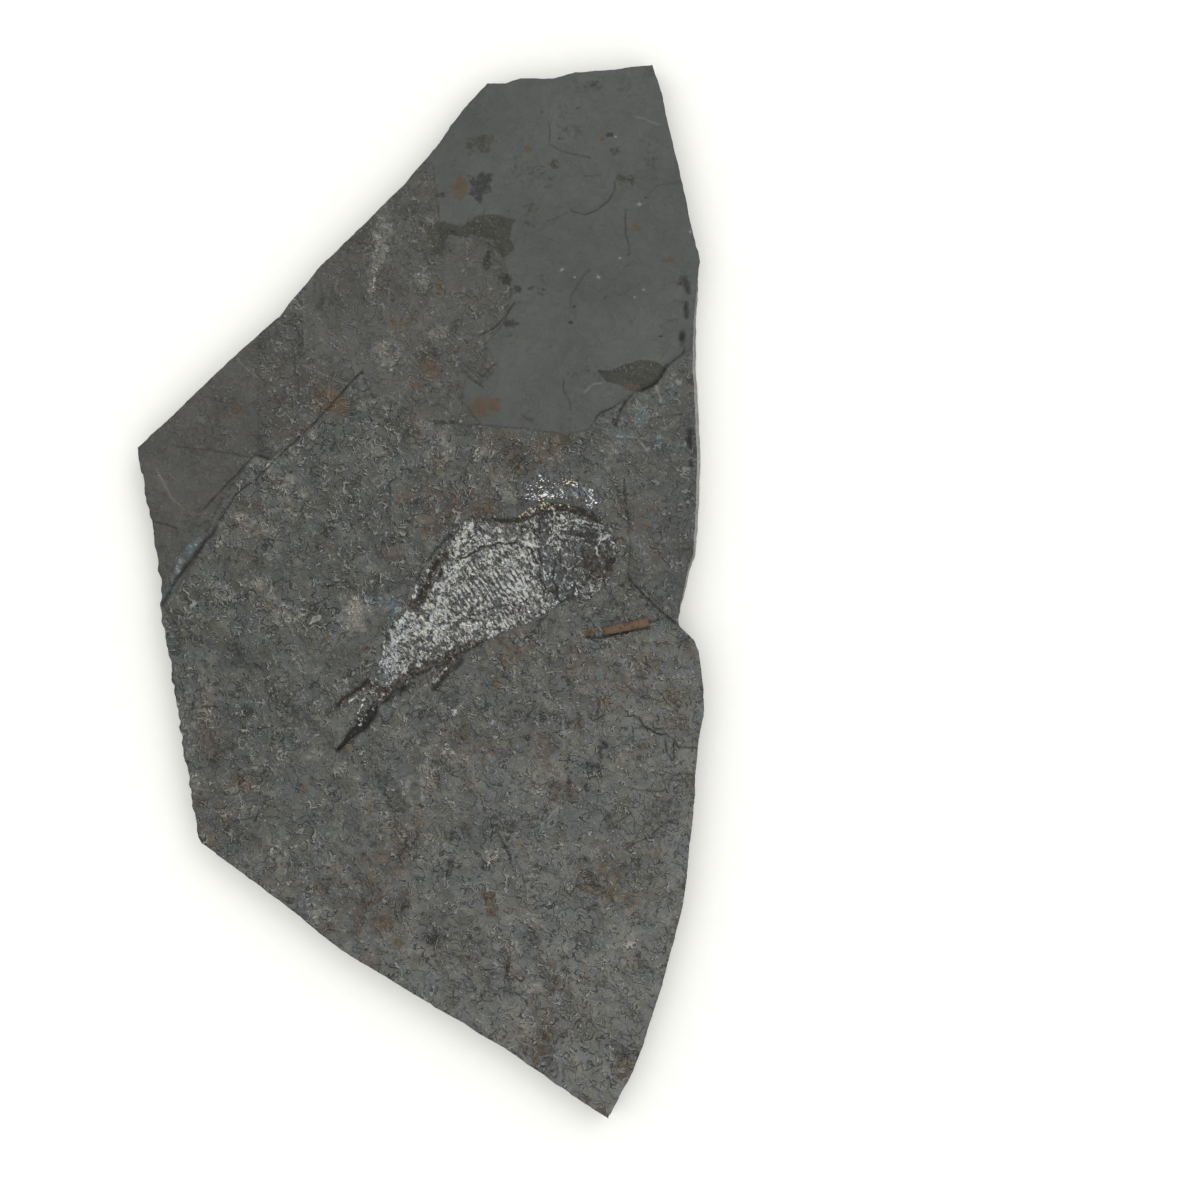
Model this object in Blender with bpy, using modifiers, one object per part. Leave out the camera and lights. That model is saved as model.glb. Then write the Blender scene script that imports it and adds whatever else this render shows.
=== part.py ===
"""Slab of black shale with a small fossil fish, lying flat on its underside.

The origin is the middle of the slab's underside, +X and +Y lie in the bedding plane
with +Y along the slab, and +Z points out of the face that carries the fish.
"""
import math
import random

import bmesh
import bpy
from mathutils import Vector

MM = 0.001

# Driving dimensions, in millimetres
SLAB_LENGTH = 195.4
SLAB_WIDTH = 105.1
BEDDING_TOP = 5.55          # smooth bedding plane that shows where layers flaked off
STAINED_TOP = 5.72          # mottled layer left of the smooth plate
FISH_LAYER_TOP = 6.0        # grainy layer that carries the fish
RIGHT_PLATE_TOP = 6.2       # highest plate, beside the snout
FISH_LAYER_BOTTOM = 5.3     # each layer reaches down into the laminae under it
STAINED_BOTTOM = 5.34
RIGHT_PLATE_BOTTOM = 5.38
FISH_LAYER_INSET = 1.15     # how far each layer stays inside the outline of the slab
STAINED_INSET = 1.45
RIGHT_PLATE_INSET = 1.3
RIGHT_PLATE_NEAR, RIGHT_PLATE_FAR = -4.0, 53.0      # where the right plate reaches the right side
LAMINAE = 4                 # thick laminae that show on the broken sides
LAMINA_INSETS = [0.55, 0.25, 0.0, 0.3]
LAMINA_SEED = 31
LAMINA_OVERLAP = 0.15       # how far each lamina reaches into the one below
LAMINA_STAGGER = 0.02       # a little more for each lamina, so that no two faces meet flush
SIDE_STEP = 8.0             # spacing of the jagged points on a broken side
SIDE_ROUGHNESS = 0.28
RIGHT_FLARE = 0.75          # the right side slopes out by this much below its top edge
FLARE_FROM = 45.0           # only points beyond this along X slope out
LEDGE_STEP, STAINED_STEP = 3.0, 4.0
LEDGE_SEEDS = {"left": 11, "far": 12, "stained": 13, "right": 14}
CLEARANCE = 0.32            # gap between the shale and what lies in it
POCKET_FLOOR = 5.0
POCKET_STAGGER = 0.012      # each pocket is this much deeper than the one before
CUT_TOP, POCKET_TOP = 7.0, 7.3                      # cutters reach clear of the upper face
FISH_UNDERSIDE = 5.32
BODY_LIFT = 0.03            # edge of the flank over the fish layer
SKULL_LIFT = 0.14
SKULL_UNDERSIDE = FISH_UNDERSIDE + 0.03
FIN_UNDERSIDE = FISH_UNDERSIDE + 0.06
LOWER_TAIL_UNDERSIDE = FISH_UNDERSIDE + 0.09
SCALE_ROWS = 44
SCALE_RIDGE = 0.13
BODY_RISE = 0.42
TAIL_THINNING = 0.45        # the flank loses this share of its rise by the tail
FLAKE_COUNT = 28
FLAKE_RISE = 0.16
FLAKE_BOTTOM = 5.7
FLAKE_SIZES = (3.0, 5.6)
FLAKE_CLEAR = 3.2           # clear ground round the middle of a flake or scar
FLAKE_MARGIN = 1.2          # how far they keep off the fish and the pockets
FLAKE_SEED = 7
SCAR_COUNT = 14
SCAR_DEPTH = 0.2
CRACK_WIDTH = 0.36
CRACK_DEPTH = 0.4
CRACK_CLEAR, CRACK_MARGIN = 3.0, 0.5                # clear strip along each crack
NEAR_LAYER = 30.0           # below this along Y the face is the fish layer, beyond it bedding
CORNER_LIFT = 0.07          # floor of the corner pocket over the bedding

# Outline of the slab, clockwise from the tip at the far right corner
RIGHT_SIDE = [(42.9, 97.7), (44.4, 93.4), (47.5, 80.1), (49.5, 71.2), (51.8, 62.3), (51.9, 60.1),
              (51.2, 51.2), (51.2, 42.4), (51.9, 29.0), (52.1, 24.6), (51.8, 15.7), (51.2, 6.8),
              (49.7, 2.4), (47.9, -5.2), (48.1, -6.5), (50.5, -8.7), (51.6, -10.9),
              (52.5, -18.1), (52.5, -22.0), (51.4, -28.7), (50.5, -42.0), (48.8, -57.5),
              (47.1, -64.2), (44.0, -75.3), (41.2, -84.2), (39.5, -88.6)]
LOWER_SIDE = [(34.7, -97.7), (27.9, -93.1), (14.9, -84.2), (0.0, -75.3), (-14.7, -66.4),
              (-25.9, -57.5), (-37.8, -48.7)]
LEFT_SIDE = [(-40.7, -46.8), (-42.6, -37.6), (-45.0, -22.0), (-47.8, -5.4)]
UPPER_LEFT_SIDE = [(-48.3, 2.4), (-50.6, 15.7), (-52.4, 24.6), (-52.6, 26.8), (-45.4, 33.5),
                   (-36.1, 42.4), (-26.3, 51.2)]
FAR_SIDE = [(-18.9, 60.1), (-3.0, 75.7), (2.7, 82.3), (7.4, 89.0), (12.3, 94.3), (15.7, 94.3),
            (18.5, 95.3), (24.6, 95.3), (28.6, 96.4), (32.9, 96.6), (38.8, 97.3)]
FLARE_TOP = 61.0            # the right side slopes out between these two heights along Y
FLARE_BOTTOM = -6.0

# Ledges of the bedding: from the left side up to the middle, then on to the right side
LEFT_LEDGE = [(-44.4, 1.5), (-40.4, 8.1), (-39.6, 11.1), (-37.0, 17.0), (-30.8, 25.5),
              (-27.8, 24.4), (-26.5, 25.7), (-23.7, 27.4), (-20.8, 30.3), (-15.6, 35.1),
              (-10.8, 40.7)]
FAR_LEDGE = [(-8.9, 35.9), (-4.5, 34.8), (0.7, 31.8), (7.4, 31.1), (14.8, 30.7), (21.4, 30.0),
             (25.9, 29.2), (31.0, 30.0), (33.3, 33.3), (36.0, 34.4), (39.9, 37.0), (43.4, 38.5),
             (45.5, 41.4), (48.8, 44.8)]
STAINED_LEDGE = [(11.1, 28.6), (11.1, 31.4), (7.7, 35.5), (8.3, 40.7), (10.9, 38.5),
                 (14.2, 41.4), (11.8, 45.7), (15.7, 50.3), (16.6, 55.9), (14.8, 64.2),
                 (3.7, 67.0), (1.8, 78.4)]
STAINED_BACK = [(-21.6, 55.2), (-21.5, 43.7), (-14.6, 39.4), (-11.5, 35.0), (-8.0, 32.0),
                (0.7, 29.2)]
RIGHT_PLATE_EDGE = [(49.2, 50.3), (48.1, 44.4), (45.5, 41.4), (43.4, 38.5), (39.9, 37.0),
                    (37.3, 34.6), (36.2, 30.0), (37.7, 26.3), (38.6, 20.7), (38.4, 3.7),
                    (38.8, 2.2), (41.6, 0.4), (45.3, -3.0)]
CORNER_POCKET = [(39.0, 1.4), (41.5, -0.4), (44.7, -3.6), (44.4, -4.8), (40.7, -6.9),
                 (34.6, -9.0), (33.3, -3.7), (35.5, 0.4)]
CRACKS = [
    [(32.9, -18.1), (40.7, -23.7), (42.5, -26.1), (45.3, -26.5), (47.7, -29.6), (50.2, -29.0)],
    [(36.2, -15.0), (38.4, -16.8), (39.5, -18.5), (40.7, -19.4)],
    [(30.1, 76.8), (33.3, 77.5), (35.7, 76.2), (35.8, 74.4), (34.5, 72.0), (29.6, 69.9)],
]
PITS = [
    [(32.7, 41.4), (39.7, 43.3), (44.6, 42.5), (42.8, 39.9), (41.2, 38.6), (37.9, 38.2)],
    [(12.2, 62.7), (13.1, 61.8), (12.9, 59.6), (11.8, 59.0), (11.4, 61.0)],
    [(32.0, -27.8), (33.8, -27.6), (34.4, -29.2), (33.4, -30.5), (32.1, -30.2)],
    [(-33.3, -21.3), (-31.3, -21.1), (-30.9, -22.8), (-32.2, -23.5), (-33.5, -22.8)],
    [(-0.4, -62.9), (3.7, -62.5), (4.4, -64.4), (1.8, -65.1), (-0.8, -64.6)],
]
PIT_DEPTH = 0.35

# The fish, head up and to the right: matching points of back and belly, head to tail
BACK = [(18.3, 14.4), (12.3, 14.1), (8.8, 12.9), (6.4, 10.5), (4.8, 7.6), (3.7, 5.0), (2.4, 2.8),
        (0.9, 0.6), (-0.8, -1.5), (-2.1, -3.0), (-3.7, -4.6), (-5.4, -6.3), (-6.7, -8.3),
        (-7.3, -10.7), (-8.0, -13.1), (-9.1, -15.2), (-10.4, -17.0)]
BELLY = [(27.0, -2.0), (22.9, -4.3), (19.9, -5.9), (17.0, -7.2), (14.2, -8.1), (11.8, -9.1),
         (9.6, -10.0), (7.5, -11.1), (5.7, -12.2), (3.8, -12.9), (1.8, -13.9), (0.1, -15.0),
         (-1.7, -15.9), (-3.4, -16.6), (-4.7, -18.1), (-6.2, -19.4), (-8.0, -20.9)]
HEAD = [(18.3, 14.4), (21.2, 15.9), (24.0, 16.5), (26.8, 16.5), (29.6, 15.7), (32.0, 14.4),
        (34.0, 12.8), (35.7, 11.3), (36.6, 9.8), (36.2, 8.7), (36.0, 6.7), (35.8, 4.1),
        (34.4, 0.7), (31.8, -0.9), (29.2, -2.0), (26.4, -2.0), (23.6, 2.0), (19.0, 9.0)]
# Height of the scaled flank from back to belly: (share of the way across, share of the rise)
FLANK_PROFILE = [(0.0, 0.0), (0.05, 0.45), (0.15, 0.7), (0.25, 0.55), (0.3, 0.3), (0.36, 0.75),
                 (0.5, 1.0), (0.66, 1.0), (0.82, 0.8), (0.94, 0.45), (1.0, 0.0)]
DORSAL_FIN = ([(5.6, 5.6), (1.9, 0.4), (-0.4, -2.4)], [(2.7, 8.6), (-1.4, 4.6), (-2.6, 1.0)])
ANAL_FIN = ([(8.2, -9.4), (4.4, -11.4), (0.6, -13.6)], [(6.2, -13.5), (2.0, -17.9), (-0.2, -16.4)])
UPPER_TAIL = ([(-9.0, -15.8), (-9.0, -17.6), (-8.6, -19.4)], [(-14.3, -19.4), (-15.6, -21.3), (-12.4, -22.2)])
LOWER_TAIL = ([(-8.7, -17.8), (-7.9, -19.4), (-7.4, -20.6)], [(-14.0, -26.4), (-15.4, -29.5), (-11.2, -25.4)])
FIN_RISE = 0.32
FIN_ROOT_TOP = 5.75         # the root of a fin is buried in the flank
FIN_RAYS = 5
FIN_EDGE_DROP = 0.04

# Bones of the head: name, middle, size, angle in degrees
BONES = [
    ("gill_cover", (22.9, 5.2, 6.0), (4.2, 10.6, 1.1), -28),
    ("cheek", (27.6, 2.6, 6.0), (3.4, 6.6, 0.95), -12),
    ("skull_roof", (26.2, 13.3, 6.0), (10.5, 3.6, 1.0), -8),
    ("snout", (32.9, 11.3, 6.0), (5.0, 2.4, 0.9), -42),
    ("lower_jaw", (31.0, 0.9, 6.0), (6.0, 2.6, 0.9), 22),
]
# Raised rings: name, middle, radius, thickness
RINGS = [("eye_rim", (31.6, 7.4, 6.14), 2.5, 0.75), ("ear_ring", (25.9, 13.9, 6.48), 0.8, 0.4)]
EYE_SOCKET = ((31.6, 7.4, 6.3), (3.6, 3.6, 0.9))

SCATTER = [(19.9, 17.3), (20.3, 19.6), (21.6, 22.6), (23.1, 24.1), (25.1, 24.8), (27.0, 21.8),
           (29.0, 20.9), (31.0, 20.4), (32.3, 18.1), (33.0, 15.4), (31.6, 15.6), (29.4, 16.9),
           (26.8, 17.6), (24.0, 17.6), (21.6, 17.1)]
SCATTER_REACH_X, SCATTER_REACH_Y = (19, 33), (15, 25)
SCATTER_TOP = 6.06
LOOSE_SCALES = 14
LOOSE_SCALE_SIZE = 1.1
LOOSE_SCALE_HEIGHTS = (0.25, 0.5)
LOOSE_SCALE_WIDTHS = (0.5, 0.8)         # as a share of the size
LOOSE_SCALE_MARGIN = 0.62   # share of the size kept inside the crust
LOOSE_SCALE_LIFT = 0.03
LOOSE_SCALE_SEED = 21
STEM = [(34.1, -6.9), (42.2, -5.0), (42.5, -6.2), (34.4, -8.1)]
STEM_TOP = 6.0
STEM_UNDERSIDE = 5.2
STEM_STEP, STEM_ROUGHNESS, STEM_SEED = 2.0, 0.08, 5
STEM_ROUNDING = 0.2


def material(name, colour, roughness, metallic=0.0):
    made = bpy.data.materials.new(name)
    made.use_nodes = True
    shader = made.node_tree.nodes["Principled BSDF"]
    shader.inputs["Base Color"].default_value = (*colour, 1.0)
    shader.inputs["Roughness"].default_value = roughness
    shader.inputs["Metallic"].default_value = metallic
    return made


def collection(name):
    made = bpy.data.collections.new(name)
    bpy.context.scene.collection.children.link(made)
    return made


def add_mesh(name, bm, group):
    bmesh.ops.recalc_face_normals(bm, faces=bm.faces)
    if bm.calc_volume(signed=True) < 0:
        bmesh.ops.reverse_faces(bm, faces=bm.faces)
    mesh = bpy.data.meshes.new(name)
    bm.to_mesh(mesh)
    bm.free()
    made = bpy.data.objects.new(name, mesh)
    group.objects.link(made)
    return made


def tool(made):
    made.display_type = "WIRE"
    made.hide_render = True
    return made


def plate(name, outline, bottom, top, group):
    """Flat layer between two heights, from a filled 2D curve turned into a welded mesh."""
    curve = bpy.data.curves.new(name, "CURVE")
    curve.dimensions = "2D"
    curve.fill_mode = "BOTH"
    curve.extrude = (top - bottom) / 2 * MM
    spline = curve.splines.new("POLY")
    spline.points.add(len(outline) - 1)
    for point, (x, y) in zip(spline.points, outline):
        point.co = (x * MM, y * MM, 0.0, 1.0)
    spline.use_cyclic_u = True
    flat = bpy.data.objects.new(name + "_curve", curve)
    flat.location.z = (bottom + top) / 2 * MM
    group.objects.link(flat)
    view = bpy.context.evaluated_depsgraph_get()
    mesh = bpy.data.meshes.new_from_object(flat.evaluated_get(view))
    bm = bmesh.new()
    bm.from_mesh(mesh)
    bmesh.ops.remove_doubles(bm, verts=bm.verts, dist=0.00001)
    bpy.data.meshes.remove(mesh)
    made = add_mesh(name, bm, group)
    made.matrix_world = flat.matrix_world.copy()
    bpy.data.objects.remove(flat)
    return made


def combine(target, other, operation, solver="EXACT"):
    step = target.modifiers.new(operation.title(), "BOOLEAN")
    step.operation = operation
    step.solver = solver
    step.object = other


def normals_of(outline):
    """Outward unit normal and corner stretch at each point of a closed outline."""
    area = sum(a[0] * b[1] - b[0] * a[1] for a, b in zip(outline, outline[1:] + outline[:1]))
    turn = 1.0 if area > 0 else -1.0
    found = []
    for i, point in enumerate(outline):
        before = Vector(point) - Vector(outline[i - 1])
        after = Vector(outline[(i + 1) % len(outline)]) - Vector(point)
        first = Vector((before.y, -before.x)).normalized() * turn
        second = Vector((after.y, -after.x)).normalized() * turn
        middle = (first + second).normalized()
        found.append((middle, 1.0 / max(0.6, middle.dot(first))))
    return found


def grow(outline, margin):
    return [(x + n.x * margin * stretch, y + n.y * margin * stretch)
            for (x, y), (n, stretch) in zip(outline, normals_of(outline))]


def broken(outline, step, roughness, seed, closed=True):
    """Points added along each side, pushed a little in or out like a broken edge."""
    rng = random.Random(seed)
    ends = outline[1:] + outline[:1] if closed else outline[1:]
    points = []
    for start, end in zip(outline, ends):
        a, b = Vector(start), Vector(end)
        count = max(1, round((b - a).length / step))
        side = Vector((b.y - a.y, a.x - b.x)).normalized()
        points.append(start)
        for i in range(1, count):
            at = a.lerp(b, i / count) + side * rng.uniform(-roughness, roughness)
            points.append((at.x, at.y))
    if not closed:
        points.append(outline[-1])
    return points


def slab_outline():
    return RIGHT_SIDE + LOWER_SIDE + LEFT_SIDE + UPPER_LEFT_SIDE + FAR_SIDE


def flare(y):
    """Share of the slope of the right side at a height along Y, 0 to 1."""
    share = (y - FLARE_BOTTOM) / (FLARE_TOP - FLARE_BOTTOM)
    return math.sin(math.pi * share) ** 0.5 if 0 < share < 1 else 0.0


def lamina_outline(level, seed, inset):
    """Edge of one lamina; level is 0 at the underside and 1 at the top of the slab."""
    points = []
    rough = broken(slab_outline(), SIDE_STEP, SIDE_ROUGHNESS, seed)
    for (x, y), (n, stretch) in zip(rough, normals_of(rough)):
        back = inset
        if x > FLARE_FROM:
            back += RIGHT_FLARE * flare(y) * level
        points.append((x - n.x * back * stretch, y - n.y * back * stretch))
    limit_x, limit_y = SLAB_WIDTH / 2, SLAB_LENGTH / 2
    return [(max(-limit_x, min(limit_x, x)), max(-limit_y, min(limit_y, y))) for x, y in points]


def blob(rng, x, y, size, corners):
    """Small irregular flat flake outline round a point."""
    start = rng.uniform(0, math.tau)
    points = []
    for i in range(corners):
        angle = start + math.tau * (i + rng.uniform(-0.2, 0.2)) / corners
        reach = size / 2 * rng.uniform(0.65, 1.0)
        points.append((x + reach * math.cos(angle), y + 0.75 * reach * math.sin(angle)))
    return points


def inside(outline, x, y):
    hit = False
    for (ax, ay), (bx, by) in zip(outline, outline[1:] + outline[:1]):
        if (ay > y) != (by > y) and x < (bx - ax) * (y - ay) / (by - ay) + ax:
            hit = not hit
    return hit


def spots(rng, count, region, keep_out, size):
    """Places for small flakes, inside the region, off the keep-out shapes and each other."""
    found = []
    while len(found) < count:
        x = rng.uniform(-SLAB_WIDTH / 2, SLAB_WIDTH / 2)
        y = rng.uniform(-SLAB_LENGTH / 2, SLAB_LENGTH / 2)
        ring = [(x + size * math.cos(a * math.tau / 8), y + size * math.sin(a * math.tau / 8))
                for a in range(8)]
        if not all(inside(region, *p) for p in ring):
            continue
        if any(inside(shape, *p) for shape in keep_out for p in ring + [(x, y)]):
            continue
        if any(math.dist((x, y), other) < size * 1.6 for other in found):
            continue
        found.append((x, y))
    return found


def flakes(name, outlines, bottom, top, group):
    """Several separate flakes joined into one object, none of them touching another."""
    bm = bmesh.new()
    for i, outline in enumerate(outlines):
        one = plate(name + str(i), outline, bottom + 0.004 * (i % 5), top + 0.012 * (i % 7), group)
        mesh = one.data
        mesh.transform(one.matrix_world)
        bm.from_mesh(mesh)
        bpy.data.objects.remove(one)
        bpy.data.meshes.remove(mesh)
    return add_mesh(name, bm, group)


def strip(line, width):
    """Outline of a crack that narrows to a point at its far end."""
    left, right = [], []
    for i, point in enumerate(line):
        a = Vector(line[max(0, i - 1)])
        b = Vector(line[min(len(line) - 1, i + 1)])
        side = Vector((a.y - b.y, b.x - a.x)).normalized()
        half = width / 2 * (1.0 - 0.6 * i / (len(line) - 1))
        left.append((point[0] + side.x * half, point[1] + side.y * half))
        right.append((point[0] - side.x * half, point[1] - side.y * half))
    return left + right[::-1]


def loft(name, sections, group):
    """Closed skin over sections that all have the same number of points."""
    bm = bmesh.new()
    rings = [[bm.verts.new(Vector(p) * MM) for p in section] for section in sections]
    for first, second in zip(rings, rings[1:]):
        for i in range(len(first)):
            j = (i + 1) % len(first)
            bm.faces.new((first[i], first[j], second[j], second[i]))
    bm.faces.new(rings[0][::-1])
    bm.faces.new(rings[-1])
    bmesh.ops.triangulate(bm, faces=bm.faces)
    return add_mesh(name, bm, group)


def along(points, share):
    """Point at a share of the way through a list, smoothed between its points."""
    place = share * (len(points) - 1)
    i = min(int(place), len(points) - 2)
    t = place - i
    p = [Vector(points[max(0, min(len(points) - 1, i + k))]) for k in (-1, 0, 1, 2)]
    return 0.5 * (2 * p[1] + (p[2] - p[0]) * t + (2 * p[0] - 5 * p[1] + 4 * p[2] - p[3]) * t ** 2
                  + (3 * p[1] - p[0] - 3 * p[2] + p[3]) * t ** 3)


def scaled_body(group):
    """Flank of the fish: rows of scales as ridges across a low dome, lying on its side."""
    sections = []
    steps = 2 * SCALE_ROWS
    for i in range(steps + 1):
        share = i / steps
        back, belly = along(BACK, share), along(BELLY, share)
        ridge = SCALE_RIDGE if i % 2 else 0.0
        rise = BODY_RISE * (1.0 - TAIL_THINNING * share)
        ring = []
        for across, height in FLANK_PROFILE:
            at = back.lerp(belly, across)
            top = FISH_LAYER_TOP + BODY_LIFT + rise * height + ridge * min(1.0, 2.0 * height)
            ring.append((at.x, at.y, top))
        ring.append((belly.x, belly.y, FISH_UNDERSIDE))
        ring.append((back.x, back.y, FISH_UNDERSIDE))
        sections.append(ring)
    return loft("body", sections, group)


def fin(name, edges, underside, group):
    """Fin with raised rays that fan from its root to its free edge."""
    root, free = edges
    sections = []
    for out in (0.0, 0.3, 1.0):
        ring = []
        for i in range(2 * FIN_RAYS + 1):
            share = i / (2 * FIN_RAYS)
            at = along(root, share).lerp(along(free, share), out)
            ray = FIN_RISE * (1.0 if i % 2 else 0.45) * (1.0 - 0.6 * out)
            ring.append((at.x, at.y, FISH_LAYER_TOP - FIN_EDGE_DROP + ray if out else FIN_ROOT_TOP))
        for share in (1.0, 0.0):
            at = along(root, share).lerp(along(free, share), out)
            ring.append((at.x, at.y, underside))
        sections.append(ring)
    return loft(name, sections, group)


def bone(name, centre, size, angle, group, segments=12, rings=6):
    """Low domed skull bone."""
    bpy.ops.mesh.primitive_uv_sphere_add(segments=segments, ring_count=rings, radius=1.0)
    made = bpy.context.object
    made.name = name
    made.location = Vector(centre) * MM
    made.rotation_euler.z = math.radians(angle)
    made.scale = Vector(size) / 2 * MM
    for owner in list(made.users_collection):
        owner.objects.unlink(made)
    group.objects.link(made)
    return made


def ring(name, centre, radius, thickness, group):
    """Raised ring of bone, such as the rim of the eye socket."""
    bpy.ops.mesh.primitive_torus_add(major_segments=14, minor_segments=5,
                                     major_radius=radius * MM, minor_radius=thickness / 2 * MM)
    made = bpy.context.object
    made.name = name
    made.location = Vector(centre) * MM
    for owner in list(made.users_collection):
        owner.objects.unlink(made)
    group.objects.link(made)
    return made


def fin_outline(edges):
    root, free = edges
    return root + free[::-1]


def make_fish(group, tools):
    fish = scaled_body(group)
    fish.name = "fossil_fish"
    pieces = [
        plate("skull", HEAD, SKULL_UNDERSIDE, FISH_LAYER_TOP + SKULL_LIFT, tools),
        fin("dorsal_fin", DORSAL_FIN, FIN_UNDERSIDE, tools),
        fin("anal_fin", ANAL_FIN, FIN_UNDERSIDE, tools),
        fin("upper_tail", UPPER_TAIL, FIN_UNDERSIDE, tools),
        fin("lower_tail", LOWER_TAIL, LOWER_TAIL_UNDERSIDE, tools),
    ]
    pieces += [bone(name, centre, size, angle, tools) for name, centre, size, angle in BONES]
    pieces += [ring(name, centre, radius, thickness, tools) for name, centre, radius, thickness in RINGS]
    for piece in pieces:
        combine(fish, tool(piece), "UNION", "MANIFOLD")
    socket = bone("eye_socket", *EYE_SOCKET, 0, tools)
    combine(fish, tool(socket), "DIFFERENCE", "MANIFOLD")
    return fish


def make_scatter(group, tools):
    """Crust of loose scales beside the skull, fused where they overlap."""
    crust = plate("scattered_scales", SCATTER, FISH_UNDERSIDE, SCATTER_TOP, group)
    rng = random.Random(LOOSE_SCALE_SEED)
    placed = 0
    while placed < LOOSE_SCALES:
        x, y = rng.uniform(*SCATTER_REACH_X), rng.uniform(*SCATTER_REACH_Y)
        reach = LOOSE_SCALE_SIZE * LOOSE_SCALE_MARGIN
        corners = [(x + reach * math.cos(a * math.tau / 8), y + reach * math.sin(a * math.tau / 8))
                   for a in range(8)]
        if not all(inside(SCATTER, *p) for p in corners):
            continue
        size = (LOOSE_SCALE_SIZE, LOOSE_SCALE_SIZE * rng.uniform(*LOOSE_SCALE_WIDTHS),
                rng.uniform(*LOOSE_SCALE_HEIGHTS))
        place = (x, y, SCATTER_TOP + LOOSE_SCALE_LIFT)
        scale = bone("scale" + str(placed), place, size, rng.uniform(0, 180), tools, 6, 5)
        combine(crust, tool(scale), "UNION", "MANIFOLD")
        placed += 1
    return crust


def make_stem(group):
    edge = broken(STEM, STEM_STEP, STEM_ROUGHNESS, STEM_SEED)
    stem = plate("stem_fragment", edge, STEM_UNDERSIDE, STEM_TOP, group)
    round_off = stem.modifiers.new("Round", "BEVEL")
    round_off.width = STEM_ROUNDING * MM
    round_off.segments = 2
    round_off.limit_method = "ANGLE"
    return stem


def add_flakes_and_scars(slab, region, right_plate, buried, tools):
    """Small flakes left standing on the fish layer, and scars where others came away."""
    rng = random.Random(FLAKE_SEED)
    keep_out = [grow(shape, FLAKE_MARGIN) for shape in buried + [CORNER_POCKET]]
    keep_out += [grow(strip(line, CRACK_CLEAR), CRACK_MARGIN) for line in CRACKS]
    keep_out += [right_plate] + PITS
    places = spots(rng, FLAKE_COUNT + SCAR_COUNT, region, keep_out, FLAKE_CLEAR)
    chips = [blob(rng, x, y, rng.uniform(*FLAKE_SIZES), rng.choice((5, 6, 7))) for x, y in places]
    top = FISH_LAYER_TOP + FLAKE_RISE
    raised = flakes("flakes", chips[:FLAKE_COUNT], FLAKE_BOTTOM, top, tools)
    combine(slab, tool(raised), "UNION")
    bottom = FISH_LAYER_TOP - SCAR_DEPTH
    scars = flakes("scars", chips[FLAKE_COUNT:], bottom, CUT_TOP, tools)
    combine(slab, tool(scars), "DIFFERENCE")


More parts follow.
